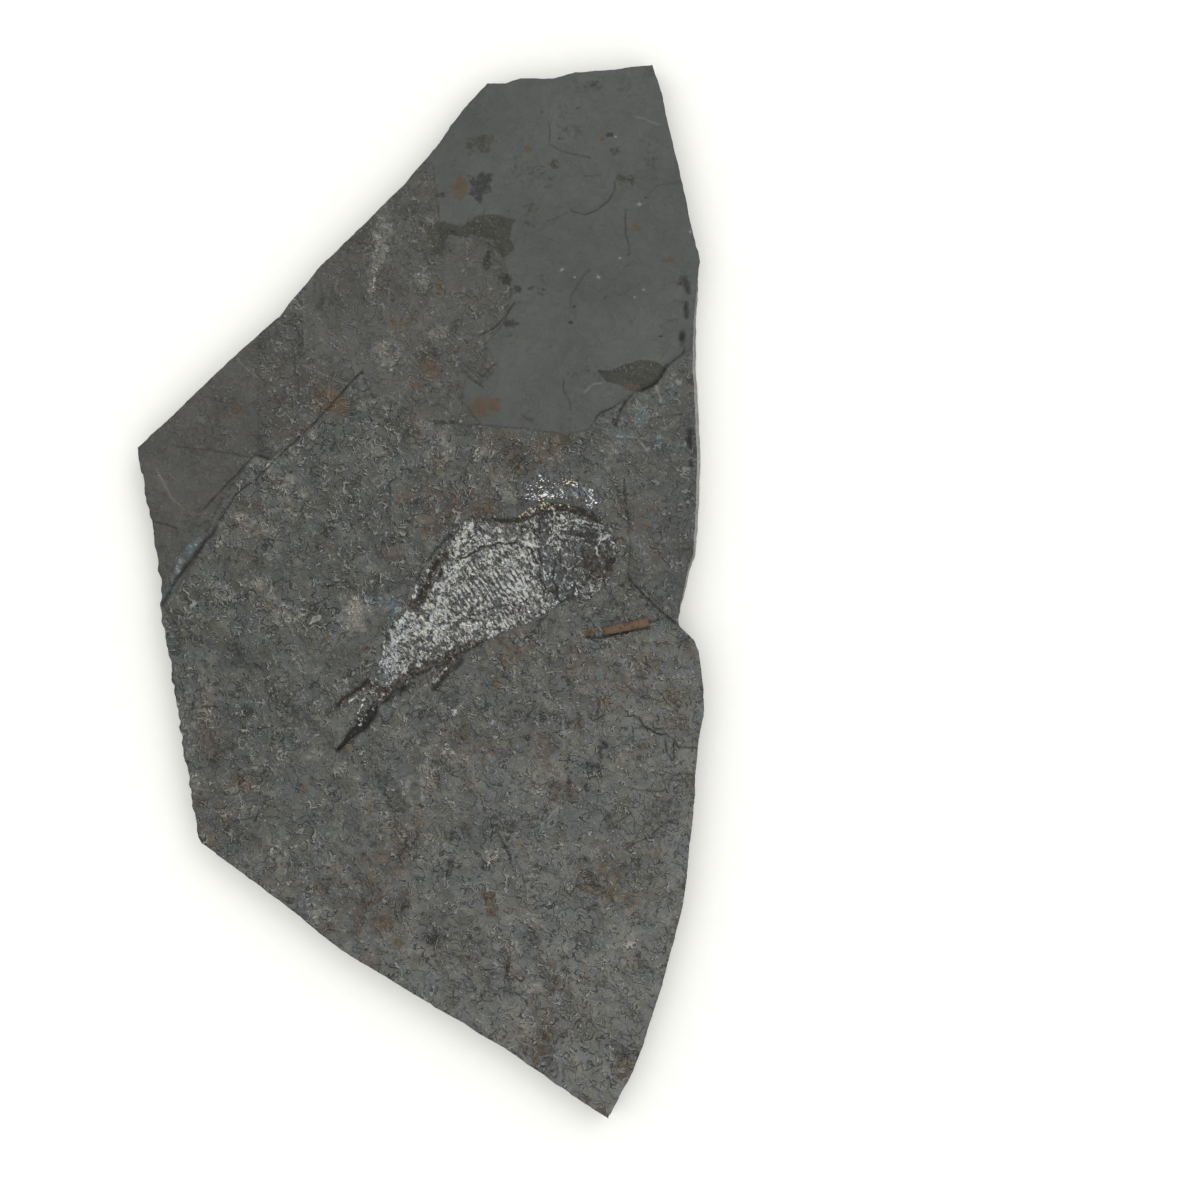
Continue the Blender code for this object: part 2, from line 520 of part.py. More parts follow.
def make_slab(group, tools):
    """Laminae stacked and fused, then the bedding plates, flakes, pits, cracks and pockets."""
    lift = BEDDING_TOP / LAMINAE
    slab = plate("shale_slab", lamina_outline(0.0, LAMINA_SEED, LAMINA_INSETS[0]), 0.0, lift, group)
    for i in range(1, LAMINAE):
        edge = lamina_outline(i / (LAMINAE - 1), LAMINA_SEED + i, LAMINA_INSETS[i])
        bottom = i * lift - LAMINA_OVERLAP - LAMINA_STAGGER * i
        combine(slab, tool(plate("lamina" + str(i), edge, bottom, (i + 1) * lift, tools)), "UNION")

    top_edge = grow(slab_outline(), -FISH_LAYER_INSET)
    right = [p for p in top_edge[:len(RIGHT_SIDE)] if p[1] < FAR_LEDGE[-1][1]]
    lower = top_edge[len(RIGHT_SIDE):len(RIGHT_SIDE) + len(LOWER_SIDE) + len(LEFT_SIDE)]
    left_ledge = broken(LEFT_LEDGE, LEDGE_STEP, 0.25, LEDGE_SEEDS["left"], closed=False)
    far_ledge = broken(FAR_LEDGE, LEDGE_STEP, 0.3, LEDGE_SEEDS["far"], closed=False)
    fish_layer = left_ledge + far_ledge + right + lower
    layer = plate("fish_layer", fish_layer, FISH_LAYER_BOTTOM, FISH_LAYER_TOP, tools)
    combine(slab, tool(layer), "UNION")

    far = grow(slab_outline(), -STAINED_INSET)[-len(FAR_SIDE):]
    stained = broken(STAINED_LEDGE, STAINED_STEP, 0.3, LEDGE_SEEDS["stained"], closed=False)
    stained += far[1::-1] + STAINED_BACK
    layer = plate("stained_layer", stained, STAINED_BOTTOM, STAINED_TOP, tools)
    combine(slab, tool(layer), "UNION")

    plate_edge = grow(slab_outline(), -RIGHT_PLATE_INSET)[:len(RIGHT_SIDE)]
    margin = [p for p in plate_edge if RIGHT_PLATE_NEAR < p[1] < RIGHT_PLATE_FAR]
    right_plate = broken(RIGHT_PLATE_EDGE, LEDGE_STEP, 0.2, LEDGE_SEEDS["right"], closed=False)
    right_plate += margin[::-1]
    layer = plate("right_plate", right_plate, RIGHT_PLATE_BOTTOM, RIGHT_PLATE_TOP, tools)
    combine(slab, tool(layer), "UNION")

    fish_shape = BACK + BELLY[::-1]
    fins = [fin_outline(edges) for edges in (DORSAL_FIN, ANAL_FIN, UPPER_TAIL, LOWER_TAIL)]
    add_flakes_and_scars(slab, fish_layer, right_plate, [fish_shape, HEAD, SCATTER, STEM] + fins, tools)

    pocket = plate("corner_pocket", CORNER_POCKET, BEDDING_TOP + CORNER_LIFT, CUT_TOP, tools)
    combine(slab, tool(pocket), "DIFFERENCE")
    for i, outline in enumerate(PITS):
        centre = sum((Vector(p) for p in outline), Vector((0, 0))) / len(outline)
        surface = FISH_LAYER_TOP if centre.y < NEAR_LAYER else BEDDING_TOP
        pit = plate("pit" + str(i), outline, surface - PIT_DEPTH, CUT_TOP, tools)
        combine(slab, tool(pit), "DIFFERENCE")
    for i, line in enumerate(CRACKS):
        surface = FISH_LAYER_TOP if line[0][1] < NEAR_LAYER else BEDDING_TOP
        outline = strip(line, CRACK_WIDTH)
        crack = plate("crack" + str(i), outline, surface - CRACK_DEPTH, CUT_TOP, tools)
        combine(slab, tool(crack), "DIFFERENCE")

    for i, shape in enumerate([fish_shape, HEAD, SCATTER, STEM] + fins):
        floor = STEM_UNDERSIDE - CLEARANCE if shape is STEM else POCKET_FLOOR
        floor -= POCKET_STAGGER * i
        pocket = plate("pocket" + str(i), grow(shape, CLEARANCE), floor, POCKET_TOP, tools)
        combine(slab, tool(pocket), "DIFFERENCE")
    return slab


def main():
    for old in list(bpy.data.objects):
        bpy.data.objects.remove(old)
    parts = collection("fossil_fish_slab")
    tools = collection("cutters_and_layers")
    slab = make_slab(parts, tools)
    slab.data.materials.append(material("shale", (0.075, 0.078, 0.074), 0.75))
    fish = make_fish(parts, tools)
    fish.data.materials.append(material("scale_enamel", (0.30, 0.29, 0.27), 0.38))
    crust = make_scatter(parts, tools)
    crust.data.materials.append(material("loose_scales", (0.33, 0.33, 0.34), 0.3))
    stem = make_stem(parts)
    stem.data.materials.append(material("rusty_stem", (0.24, 0.10, 0.05), 0.7))


main()
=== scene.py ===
import math
import random
from functools import partialmethod

import bpy
import numpy as np
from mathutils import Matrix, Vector
from mathutils.geometry import delaunay_2d_cdt


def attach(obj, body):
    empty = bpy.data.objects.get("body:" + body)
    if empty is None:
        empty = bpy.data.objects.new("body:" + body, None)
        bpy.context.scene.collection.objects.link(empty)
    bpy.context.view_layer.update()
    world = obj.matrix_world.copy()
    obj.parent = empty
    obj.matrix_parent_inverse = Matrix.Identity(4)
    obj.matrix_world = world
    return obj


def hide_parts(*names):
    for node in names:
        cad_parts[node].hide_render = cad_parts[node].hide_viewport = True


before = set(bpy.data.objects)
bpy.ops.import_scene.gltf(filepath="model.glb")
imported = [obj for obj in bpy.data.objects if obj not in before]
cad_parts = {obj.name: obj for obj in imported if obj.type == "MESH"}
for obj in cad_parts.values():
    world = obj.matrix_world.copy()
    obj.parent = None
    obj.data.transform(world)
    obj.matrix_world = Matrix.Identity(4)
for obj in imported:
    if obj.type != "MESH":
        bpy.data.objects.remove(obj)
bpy.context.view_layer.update()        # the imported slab, fish, loose scales and stem, all in one body
mm = 0.001


def hash01(ix, iy, seed):
    n = np.sin(ix * 127.1 + iy * 311.7 + seed * 74.7) * 43758.5453
    return n - np.floor(n)


def valueNoise(x, y, size, seed):
    x, y = x / size, y / size
    ix, iy = np.floor(x), np.floor(y)
    fx, fy = x - ix, y - iy
    fx, fy = fx * fx * (3 - 2 * fx), fy * fy * (3 - 2 * fy)
    low = hash01(ix, iy, seed) * (1 - fx) + hash01(ix + 1, iy, seed) * fx
    high = hash01(ix, iy + 1, seed) * (1 - fx) + hash01(ix + 1, iy + 1, seed) * fx
    return low * (1 - fy) + high * fy


def cloud(x, y, size, seed, octaves=4, gain=0.55):
    total, weight, norm = 0.0, 1.0, 0.0
    for i in range(octaves):
        turn = 0.6 + i * 1.1
        u = x * math.cos(turn) + y * math.sin(turn)
        v = y * math.cos(turn) - x * math.sin(turn)
        total = total + weight * valueNoise(u, v, size / 2 ** i, seed + i * 13)
        norm += weight
        weight *= gain
    return total / norm


def swell(*place):                        # the same, rising and falling round 0
    return cloud(*place) - 0.5


# irregular flakes: each one's tone, its distance from the edge and the way it tilts
def flakeCells(x, y, size, seed):
    x, y = x / size, y / size
    ix, iy = np.floor(x), np.floor(y)
    best = np.full(x.shape, 9.0)
    second = np.full(x.shape, 9.0)
    tone, offX, offY = np.zeros(x.shape), np.zeros(x.shape), np.zeros(x.shape)
    for dx in (-1, 0, 1):
        for dy in (-1, 0, 1):
            cx = ix + dx + hash01(ix + dx, iy + dy, seed)
            cy = iy + dy + hash01(ix + dx, iy + dy, seed + 3)
            away = (x - cx) ** 2 + (y - cy) ** 2
            closer = away < best
            second = np.where(closer, best, np.minimum(second, away))
            tone = np.where(closer, hash01(ix + dx, iy + dy, seed + 7), tone)
            offX, offY = np.where(closer, x - cx, offX), np.where(closer, y - cy, offY)
            best = np.where(closer, away, best)
    return tone, np.sqrt(second) - np.sqrt(best), offX, offY


def fade(value, low, high):
    share = np.clip((value - low) / (high - low), 0, 1)
    return share * share * (3 - 2 * share)


def lineDistance(x, y, points, closed=False):
    best = np.full(x.shape, 1e6)
    ends = points[1:] + points[:1] if closed else points[1:]
    for (ax, ay), (bx, by) in zip(points, ends):
        dx, dy = bx - ax, by - ay
        share = np.clip(((x - ax) * dx + (y - ay) * dy) / max(dx * dx + dy * dy, 1e-9), 0, 1)
        best = np.minimum(best, (x - ax - share * dx) ** 2 + (y - ay - share * dy) ** 2)
    return np.sqrt(best)


def insideShape(x, y, points):
    hit = np.zeros(x.shape, bool)
    for (ax, ay), (bx, by) in zip(points, points[1:] + points[:1]):
        if ay == by:
            continue
        crosses = (ay > y) != (by > y)
        hit ^= crosses & (x < (bx - ax) * (y - ay) / (by - ay) + ax)
    return hit


# distance to a closed outline, positive inside it
def shapeDistance(x, y, points):
    away = lineDistance(x, y, points, closed=True)
    return np.where(insideShape(x, y, points), away, -away)


# the line again with points every step, wandering a little as a broken edge does
def roughLine(points, step, roughness, seed, closed=False):
    ends = points[1:] + points[:1] if closed else points[1:]
    made, travelled = [], 0.0
    for a, b in zip(points, ends):
        length = math.dist(a, b)
        count = max(1, round(length / step))
        nx, ny = (b[1] - a[1]) / length, (a[0] - b[0]) / length
        for i in range(count):
            share = i / count
            along = np.array([travelled + share * length])
            push = float(cloud(along, along * 0 + seed, 2.6, seed, 4, 0.62)[0] - 0.5)
            push *= 2 * roughness
            made.append((a[0] + (b[0] - a[0]) * share + nx * push,
                         a[1] + (b[1] - a[1]) * share + ny * push))
        travelled += length
    if not closed:
        made.append(points[-1])
    return made


# mesh object from millimetre coordinates, with one float attribute for each mask
def makeObject(name, verts, faces, attributes, smooth=True):
    mesh = bpy.data.meshes.new(name)
    verts = np.asarray(verts, dtype=np.float64) * mm
    mesh.from_pydata(verts.tolist(), [], faces)
    for label, values in attributes.items():
        values = np.asarray(values, dtype=np.float32)
        if values.ndim == 2:
            layer = mesh.attributes.new(label, "FLOAT_COLOR", "POINT")
            values = np.c_[values, np.ones(len(values), np.float32)]
            layer.data.foreach_set("color", values.ravel())
        else:
            layer = mesh.attributes.new(label, "FLOAT", "POINT")
            layer.data.foreach_set("value", values)
    if smooth:
        mesh.shade_smooth()
    mesh.update()
    made = bpy.data.objects.new(name, mesh)
    bpy.context.scene.collection.objects.link(made)
    return made


# triangles over an outline: its own points, extra points, and a jittered lattice
def fillOutline(outline, extra, spacing, seed, clear=0.7, jitter=0.22):
    xs = [p[0] for p in outline]
    ys = [p[1] for p in outline]
    gx = np.arange(min(xs), max(xs), spacing)
    gy = np.arange(min(ys), max(ys), spacing * 0.866)
    gridX, gridY = np.meshgrid(gx, gy)
    gridX[1::2] += spacing / 2
    rng = np.random.default_rng(seed)
    x = (gridX + rng.uniform(-jitter, jitter, gridX.shape) * spacing).ravel()
    y = (gridY + rng.uniform(-jitter, jitter, gridY.shape) * spacing).ravel()
    extra = np.array(extra).reshape(-1, 2)
    if len(extra):
        extra = extra[insideShape(extra[:, 0], extra[:, 1], outline)]
        extra = extra[lineDistance(extra[:, 0], extra[:, 1], outline, True) > spacing * 0.3]
    busy = set()
    for px, py in extra:
        busy.add((round(px / spacing), round(py / spacing)))
    cells = zip(np.round(x / spacing).astype(int), np.round(y / spacing).astype(int))
    free = np.array([cell not in busy for cell in cells])
    keep = insideShape(x, y, outline) & free
    x, y = x[keep], y[keep]
    keep = lineDistance(x, y, outline, True) > spacing * clear
    points = outline + [tuple(p) for p in extra] + list(zip(x[keep], y[keep]))
    count = len(outline)
    rim = [(i, (i + 1) % count) for i in range(count)]
    flat, _, faces, origins, _, _ = delaunay_2d_cdt([Vector(p) for p in points], rim, [], 1, 1e-5)
    place = {}
    for new, olds in enumerate(origins):
        for old in olds:
            place[old] = new
    rimIndex = [place[i] for i in range(count)]
    flat = np.array([(p.x, p.y) for p in flat])
    return flat, [tuple(f) for f in faces], rimIndex


# side faces between two rings of points
def stitch(faces, upper, lower, flip=False):
    for i in range(len(upper)):
        j = (i + 1) % len(upper)
        quad = (upper[i], upper[j], lower[j], lower[i])
        faces.append(quad[::-1] if flip else quad)


# closes a mesh with an underside fitted onto its lowest ring of points
def closeUnder(verts, faces, ring, outline, spacing, seed, heightOf):
    flat, found, rimIndex = fillOutline(outline, [], spacing, seed)
    inner = np.ones(len(flat), bool)
    inner[rimIndex] = False
    place = np.cumsum(inner) - 1 + len(verts)
    place[rimIndex] = ring
    for face in found:
        faces.append(tuple(int(place[v]) for v in reversed(face)))
    x, y = flat[inner].T
    return np.vstack([verts, np.c_[x, y, heightOf(x, y)]])


# the nodes of one material or group, joined up as they are made
class Nodes:
    def __init__(self, tree):
        self.tree = tree

    def put(self, value, socket):
        if isinstance(value, bpy.types.NodeSocket):
            self.tree.links.new(value, socket)
        elif socket.type == "RGBA":
            socket.default_value = (*value, 1.0)
        else:
            socket.default_value = value

    def node(self, kind, inputs=None, **settings):
        made = self.tree.nodes.new("ShaderNode" + kind)
        for name, value in settings.items():
            setattr(made, name, value)
        for name, value in (inputs or {}).items():
            self.put(value, made.inputs[name])
        return made

    def calc(self, operation, a, b=0.0, c=0.0, clamp=False):
        return self.node("Math", {0: a, 1: b, 2: c}, operation=operation, use_clamp=clamp).outputs[0]

    times = partialmethod(calc, "MULTIPLY")
    plus = partialmethod(calc, "ADD")
    minus = partialmethod(calc, "SUBTRACT")
    most = partialmethod(calc, "MAXIMUM")
    timesPlus = partialmethod(calc, "MULTIPLY_ADD")

    def vector(self, operation, a, b, output=0):
        return self.node("VectorMath", {0: a, 1: b}, operation=operation).outputs[output]

    def fade(self, value, low, high, toLow=0.0, toHigh=1.0):
        return self.node("MapRange", {
            "Value": value, "From Min": low, "From Max": high, "To Min": toLow, "To Max": toHigh},
            interpolation_type="SMOOTHSTEP").outputs[0]

    def mix(self, share, a, b, blend="MIX"):
        return self.node("Mix", {0: share, 6: a, 7: b}, data_type="RGBA", blend_type=blend).outputs[2]

    def noise(self, place, size, detail=3.0, roughness=0.55, distortion=0.0):
        return self.node("TexNoise", {"Vector": place, "Scale": 1 / size, "Detail": detail,
                                      "Roughness": roughness, "Distortion": distortion}).outputs[0]

    def attribute(self, label, output="Fac"):
        return self.node("Attribute", attribute_name=label).outputs[output]

    def millimetres(self):
        return self.vector("MULTIPLY", self.node("TexCoord").outputs["Object"], (1000, 1000, 1000))

    def use(self, group, **inputs):
        return self.node("Group", inputs, node_tree=group).outputs

    def give(self, **results):           # what a group puts out
        for label, value in results.items():
            self.tree.links.new(value, self.out[label])

    def plug(self, value, label):        # what a material's shader takes in
        self.tree.links.new(value, self.shader.inputs[label])

    def bump(self, height, distance):
        self.plug(self.node("Bump", {"Height": height, "Distance": distance * mm}).outputs[0], "Normal")


# every group reads a place in millimetres and puts out plain values
def startGroup(name, inputs, outputs):
    group = bpy.data.node_groups.new(name, "ShaderNodeTree")
    group.interface.new_socket("Place", in_out="INPUT", socket_type="NodeSocketVector")
    for label, value in inputs.items():
        socket = group.interface.new_socket(label, in_out="INPUT", socket_type="NodeSocketFloat")
        socket.default_value = value
    for label in outputs:
        group.interface.new_socket(label, in_out="OUTPUT", socket_type="NodeSocketFloat")
    net = Nodes(group)
    net.out = group.nodes.new("NodeGroupOutput").inputs
    return net, group.nodes.new("NodeGroupInput").outputs


def startMaterial(name, roughness, specular):
    made = bpy.data.materials.new(name)
    made.use_nodes = True
    net = Nodes(made.node_tree)
    net.material = made
    net.shader = made.node_tree.nodes["Principled BSDF"]
    net.shader.inputs["Roughness"].default_value = roughness
    net.shader.inputs["Specular IOR Level"].default_value = specular
    return net, net.millimetres()


# tone round 0.5, warm or cool hue, pale curls with lit flake rims, dark strokes with the shadows beside curls and
# rims, pale crumbs and the height of them all; the lit rims and shadows become painted highlight and painted
# shadow wherever a material colours with them
def makeGrainGroup():
    net, given = startGroup("flakyGrain", {"Flake": 2.0, "Speck": 0.3, "Width": 0.06},
                            ("Tone", "Hue", "Curl", "Crevice", "Crumb", "Height"))
    place = given["Place"]
    density = net.calc("DIVIDE", 1.0, given["Flake"])

    def noise(vector, times, detail=2.0, output=0):
        return net.node("TexNoise", {"Vector": vector, "Scale": net.times(density, times),
                                     "Detail": detail, "Roughness": 0.6}).outputs[output]

    def cells(times):                    # distance from the middle of a cell, and its own three values
        found = net.node("TexVoronoi", {"Vector": bent, "Scale": net.times(density, times)}).outputs
        return found["Distance"], net.node("SeparateColor", {"Color": found["Color"]}).outputs

    def moved(vector, shift, amount):
        step = net.node("VectorMath", {0: shift, "Scale": net.times(given["Flake"], amount)},
                        operation="SCALE").outputs[0]
        return net.vector("ADD", vector, step)

    bent = moved(place, net.vector("SUBTRACT", noise(place, 1.3, 1.0, "Color"), (0.5, 0.5, 0.5)), 1.1)
    nudged = moved(bent, (0.8, 0.72, 0.0), 0.12)

    # terraces of thin flakes, each with a tone of its own, a lit near rim and a shaded far rim, masks for painted
    # highlight and painted shadow
    def terraces(times, count):
        here, beside = [net.calc("FLOOR", net.times(noise(v, times, 0.6), count)) for v in (bent, nudged)]
        own = net.node("TexWhiteNoise", {"W": here}, noise_dimensions="1D").outputs["Value"]
        return own, net.minus(here, beside)

    wideTone, wideStep = terraces(0.27, 11.0)
    thinTone, thinStep = terraces(0.62, 9.0)
    lit = net.most(net.plus(wideStep, 0.0, clamp=True), net.times(thinStep, 0.7, clamp=True))
    shaded = net.most(net.times(wideStep, -1.0, clamp=True), net.times(thinStep, -0.7, clamp=True))

    broad, middle, small = [cells(times)[1] for times in (0.38, 1.0, 2.2)]
    fine = net.node("TexNoise", {"Vector": place, "Scale": net.calc("DIVIDE", 1.0, given["Speck"]),
                                 "Detail": 2.0, "Roughness": 0.6}).outputs[0]
    drift = noise(place, 0.6, 3.0)

    def gathered(parts):                 # each part swings the sum by its own reach
        total = 0.5
        for value, reach in parts:
            total = net.timesPlus(net.minus(value, 0.5), reach, total)
        return total

    tone = gathered(((wideTone, 0.09), (thinTone, 0.05), (broad[0], 0.06), (middle[0], 0.04),
                     (small[1], 0.05), (fine, 0.22), (drift, 0.14)))
    hue = gathered(((broad[1], 0.3), (middle[2], 0.3), (thinTone, 0.25), (drift, 0.8)))

    # wandering curls broken into short lengths, each with its shadow beside it
    def wandering(vector, times, detail, wide, narrow):
        line = net.calc("ABSOLUTE", net.minus(noise(vector, times, detail), 0.5))
        return net.fade(line, wide, narrow)

    def curls(times, wide, low, high):
        broken = net.fade(noise(place, times * 0.8, 2.0), low, high)
        return [net.times(wandering(v, times, 0.8, wide, wide * 0.45), broken) for v in (bent, nudged)]

    patch = noise(place, 0.45, 2.0)
    wideCurl, wideShade = curls(0.5, 0.022, 0.52, 0.55)
    thinCurl, thinShade = curls(1.1, 0.045, 0.53, 0.56)
    seam = net.times(wandering(bent, 0.6, 1.0, given["Width"], net.times(given["Width"], 0.3)),
                     net.fade(noise(place, 0.5), 0.52, 0.56))
    # painted shadow: the shaded far rims of the terraces and the shadows beside the curls join the dark seams
    crevice = net.most(net.most(seam, net.times(shaded, net.fade(patch, 0.62, 0.38, 0.3, 0.9))),
                       net.times(net.most(wideShade, thinShade), 0.8))
    # painted highlight: the lit near rims of the terraces join the pale curls
    curl = net.most(net.most(wideCurl, thinCurl), net.times(lit, 0.6))
    curl = net.times(curl, net.fade(patch, 0.38, 0.58, 0.35, 1.0))
    crevice = net.times(crevice, net.minus(1.0, curl))

    dots, chosen = cells(4.4)
    cluster = net.timesPlus(noise(place, 0.55, 3.0), 1.9, chosen[0])
    crumb = net.times(net.fade(dots, 0.55, 0.25), net.fade(cluster, 1.66, 1.86))
    height = net.timesPlus(thinTone, 0.5, net.times(fine, 0.35))
    for value, rise in ((curl, 0.5), (crevice, -0.8), (crumb, 0.4)):
        height = net.timesPlus(value, rise, height)
    net.give(Tone=tone, Hue=hue, Curl=curl, Crevice=crevice, Crumb=crumb, Height=height)
    return net.tree


# breaks the soft edge of a painted mask into blotches
def makeStainGroup():
    net, given = startGroup("blotchyStain", {"Amount": 0.0, "Blotch": 0.9}, ("Mask",))
    grain = net.node("TexNoise", {"Vector": given["Place"], "Scale": net.calc("DIVIDE", 1.0, given["Blotch"]),
                                  "Detail": 3.0, "Roughness": 0.6}).outputs[0]
    level = net.plus(given["Amount"], net.timesPlus(grain, 2.0, -1.0))
    net.give(Mask=net.times(net.fade(level, 0.05, 0.85), net.fade(given["Amount"], 0.0, 0.25)))
    return net.tree


# tiny crystal faces that catch the light, here and there
def makeSparkleGroup():
    net, given = startGroup("crystalSparkle", {"Spacing": 0.5, "Share": 0.1}, ("Mask",))
    dots = net.node("TexVoronoi", {"Vector": given["Place"],
                                   "Scale": net.calc("DIVIDE", 1.0, given["Spacing"])}).outputs
    chosen = net.node("SeparateColor", {"Color": dots["Color"]}).outputs[0]
    picked = net.calc("GREATER_THAN", chosen, net.minus(1.0, given["Share"]))
    net.give(Mask=net.times(picked, net.fade(dots["Distance"], 0.55, 0.25)))
    return net.tree


flakyGrain = makeGrainGroup()
blotchyStain = makeStainGroup()
crystalSparkle = makeSparkleGroup()
print("shader groups ready")


slab = {
    "spacing": 0.47, "edgeStep": 0.5, "roughness": 0.22, "bedding": 5.55, "stainedRise": 0.16,
    "leftDrop": 0.12, "fishRise": 0.45, "rightRise": 0.2,
    "cornerDrop": 0.33, "swell": 0.22, "lipRise": 0.12, "crackDepth": 0.25, "pitDepth": 0.3,
    "foot": 0.1, "underSpacing": 1.5, "scarDepth": 0.22, "sideRows": 15, "rightFlare": 0.8,
    "right": [
        (42.9, 97.7), (44.4, 93.4), (47.5, 80.1), (49.5, 71.2), (51.6, 62.3), (51.9, 60.1), (51.2, 51.2),
        (51.2, 42.4), (51.9, 29), (52.1, 24.6), (51.8, 15.7), (51.2, 6.8), (49.7, 2.4), (47.9, -5.2),
        (48.1, -6.5), (50.5, -8.7), (51.6, -10.9), (52.5, -18.1), (52.5, -22), (51.4, -28.7), (50.5, -42),
        (48.8, -57.5), (47.1, -64.2), (44, -75.3), (41.2, -84.2), (39.5, -88.6)],
    "lower": [
        (34.7, -97.7), (27.9, -93.1), (14.9, -84.2), (0, -75.3), (-14.7, -66.4), (-25.9, -57.5),
        (-37.8, -48.7)],
    "left": [
        (-40.7, -46.8), (-42.6, -37.6), (-45, -22), (-47.8, -5.4), (-48.3, 2.4), (-50.6, 15.7),
        (-52.4, 24.6)],
    "upper": [
        (-52.6, 26.8), (-45.4, 33.5), (-36.1, 42.4), (-26.3, 51.2), (-18.9, 60.1), (-3, 75.7), (2.7, 82.3),
        (7.4, 89), (12.3, 94.3), (15.7, 94.3), (18.5, 95.3), (24.6, 95.3), (28.6, 96.4), (32.9, 96.6),
        (38.8, 97.3)],
}

# ledges between bedding layers, each closed well outside the slab
leftLedge = [
    (-47.4, -2.2), (-44.4, 1.5), (-40.4, 8.1), (-39.6, 11.1), (-37, 17), (-30.8, 25.5), (-27.8, 24.4),
    (-26.5, 25.7), (-23.7, 27.4), (-20.8, 30.3), (-15.6, 35.1), (-13, 38.5), (-10.8, 40.7),
]
farLedge = [
    (-10.8, 40.7), (-8.9, 35.9), (-4.5, 34.8), (0.7, 31.8), (7.4, 31.1), (14.8, 30.7), (21.4, 30),
    (25.9, 29.2), (31, 30), (33.3, 33.3), (36, 34.4), (39.9, 37), (43.4, 38.5), (45.5, 41.4), (47.3, 43.3),
    (51.2, 45.7),
]
stainedLedge = [
    (11.1, 26), (11.1, 31.1), (7.7, 35.5), (8.3, 40.7), (10.9, 38.5), (14.2, 41.4), (11.8, 45.7),
    (15.7, 50.3), (16.6, 55.9), (14.8, 64.2), (3.7, 67), (2.2, 79),
]
leftPlateEdge = [
    (-21.9, 60), (-21.7, 55.9), (-21.5, 43.7), (-14.8, 40), (-10.8, 40.7),
]
rightPlateEdge = [
    (49.2, 57.7), (49.2, 50.3), (48.1, 44.4), (45.5, 41.4), (43.4, 38.5), (39.9, 37), (37.3, 34.6),
    (36.2, 30), (37.7, 26.3), (38.6, 20.7), (38.4, 3.7), (38.8, 2.2), (41.6, 0.4), (45.3, -3),
    (48.2, -6.1),
]
cornerEdge = [
    (38.4, 2.2), (35.5, 0.4), (33.3, -3.7), (33.6, -8.3), (37.3, -7.8), (40.7, -6.9), (43.6, -4.9),
    (45.1, -3), (41.6, 0.4),
]
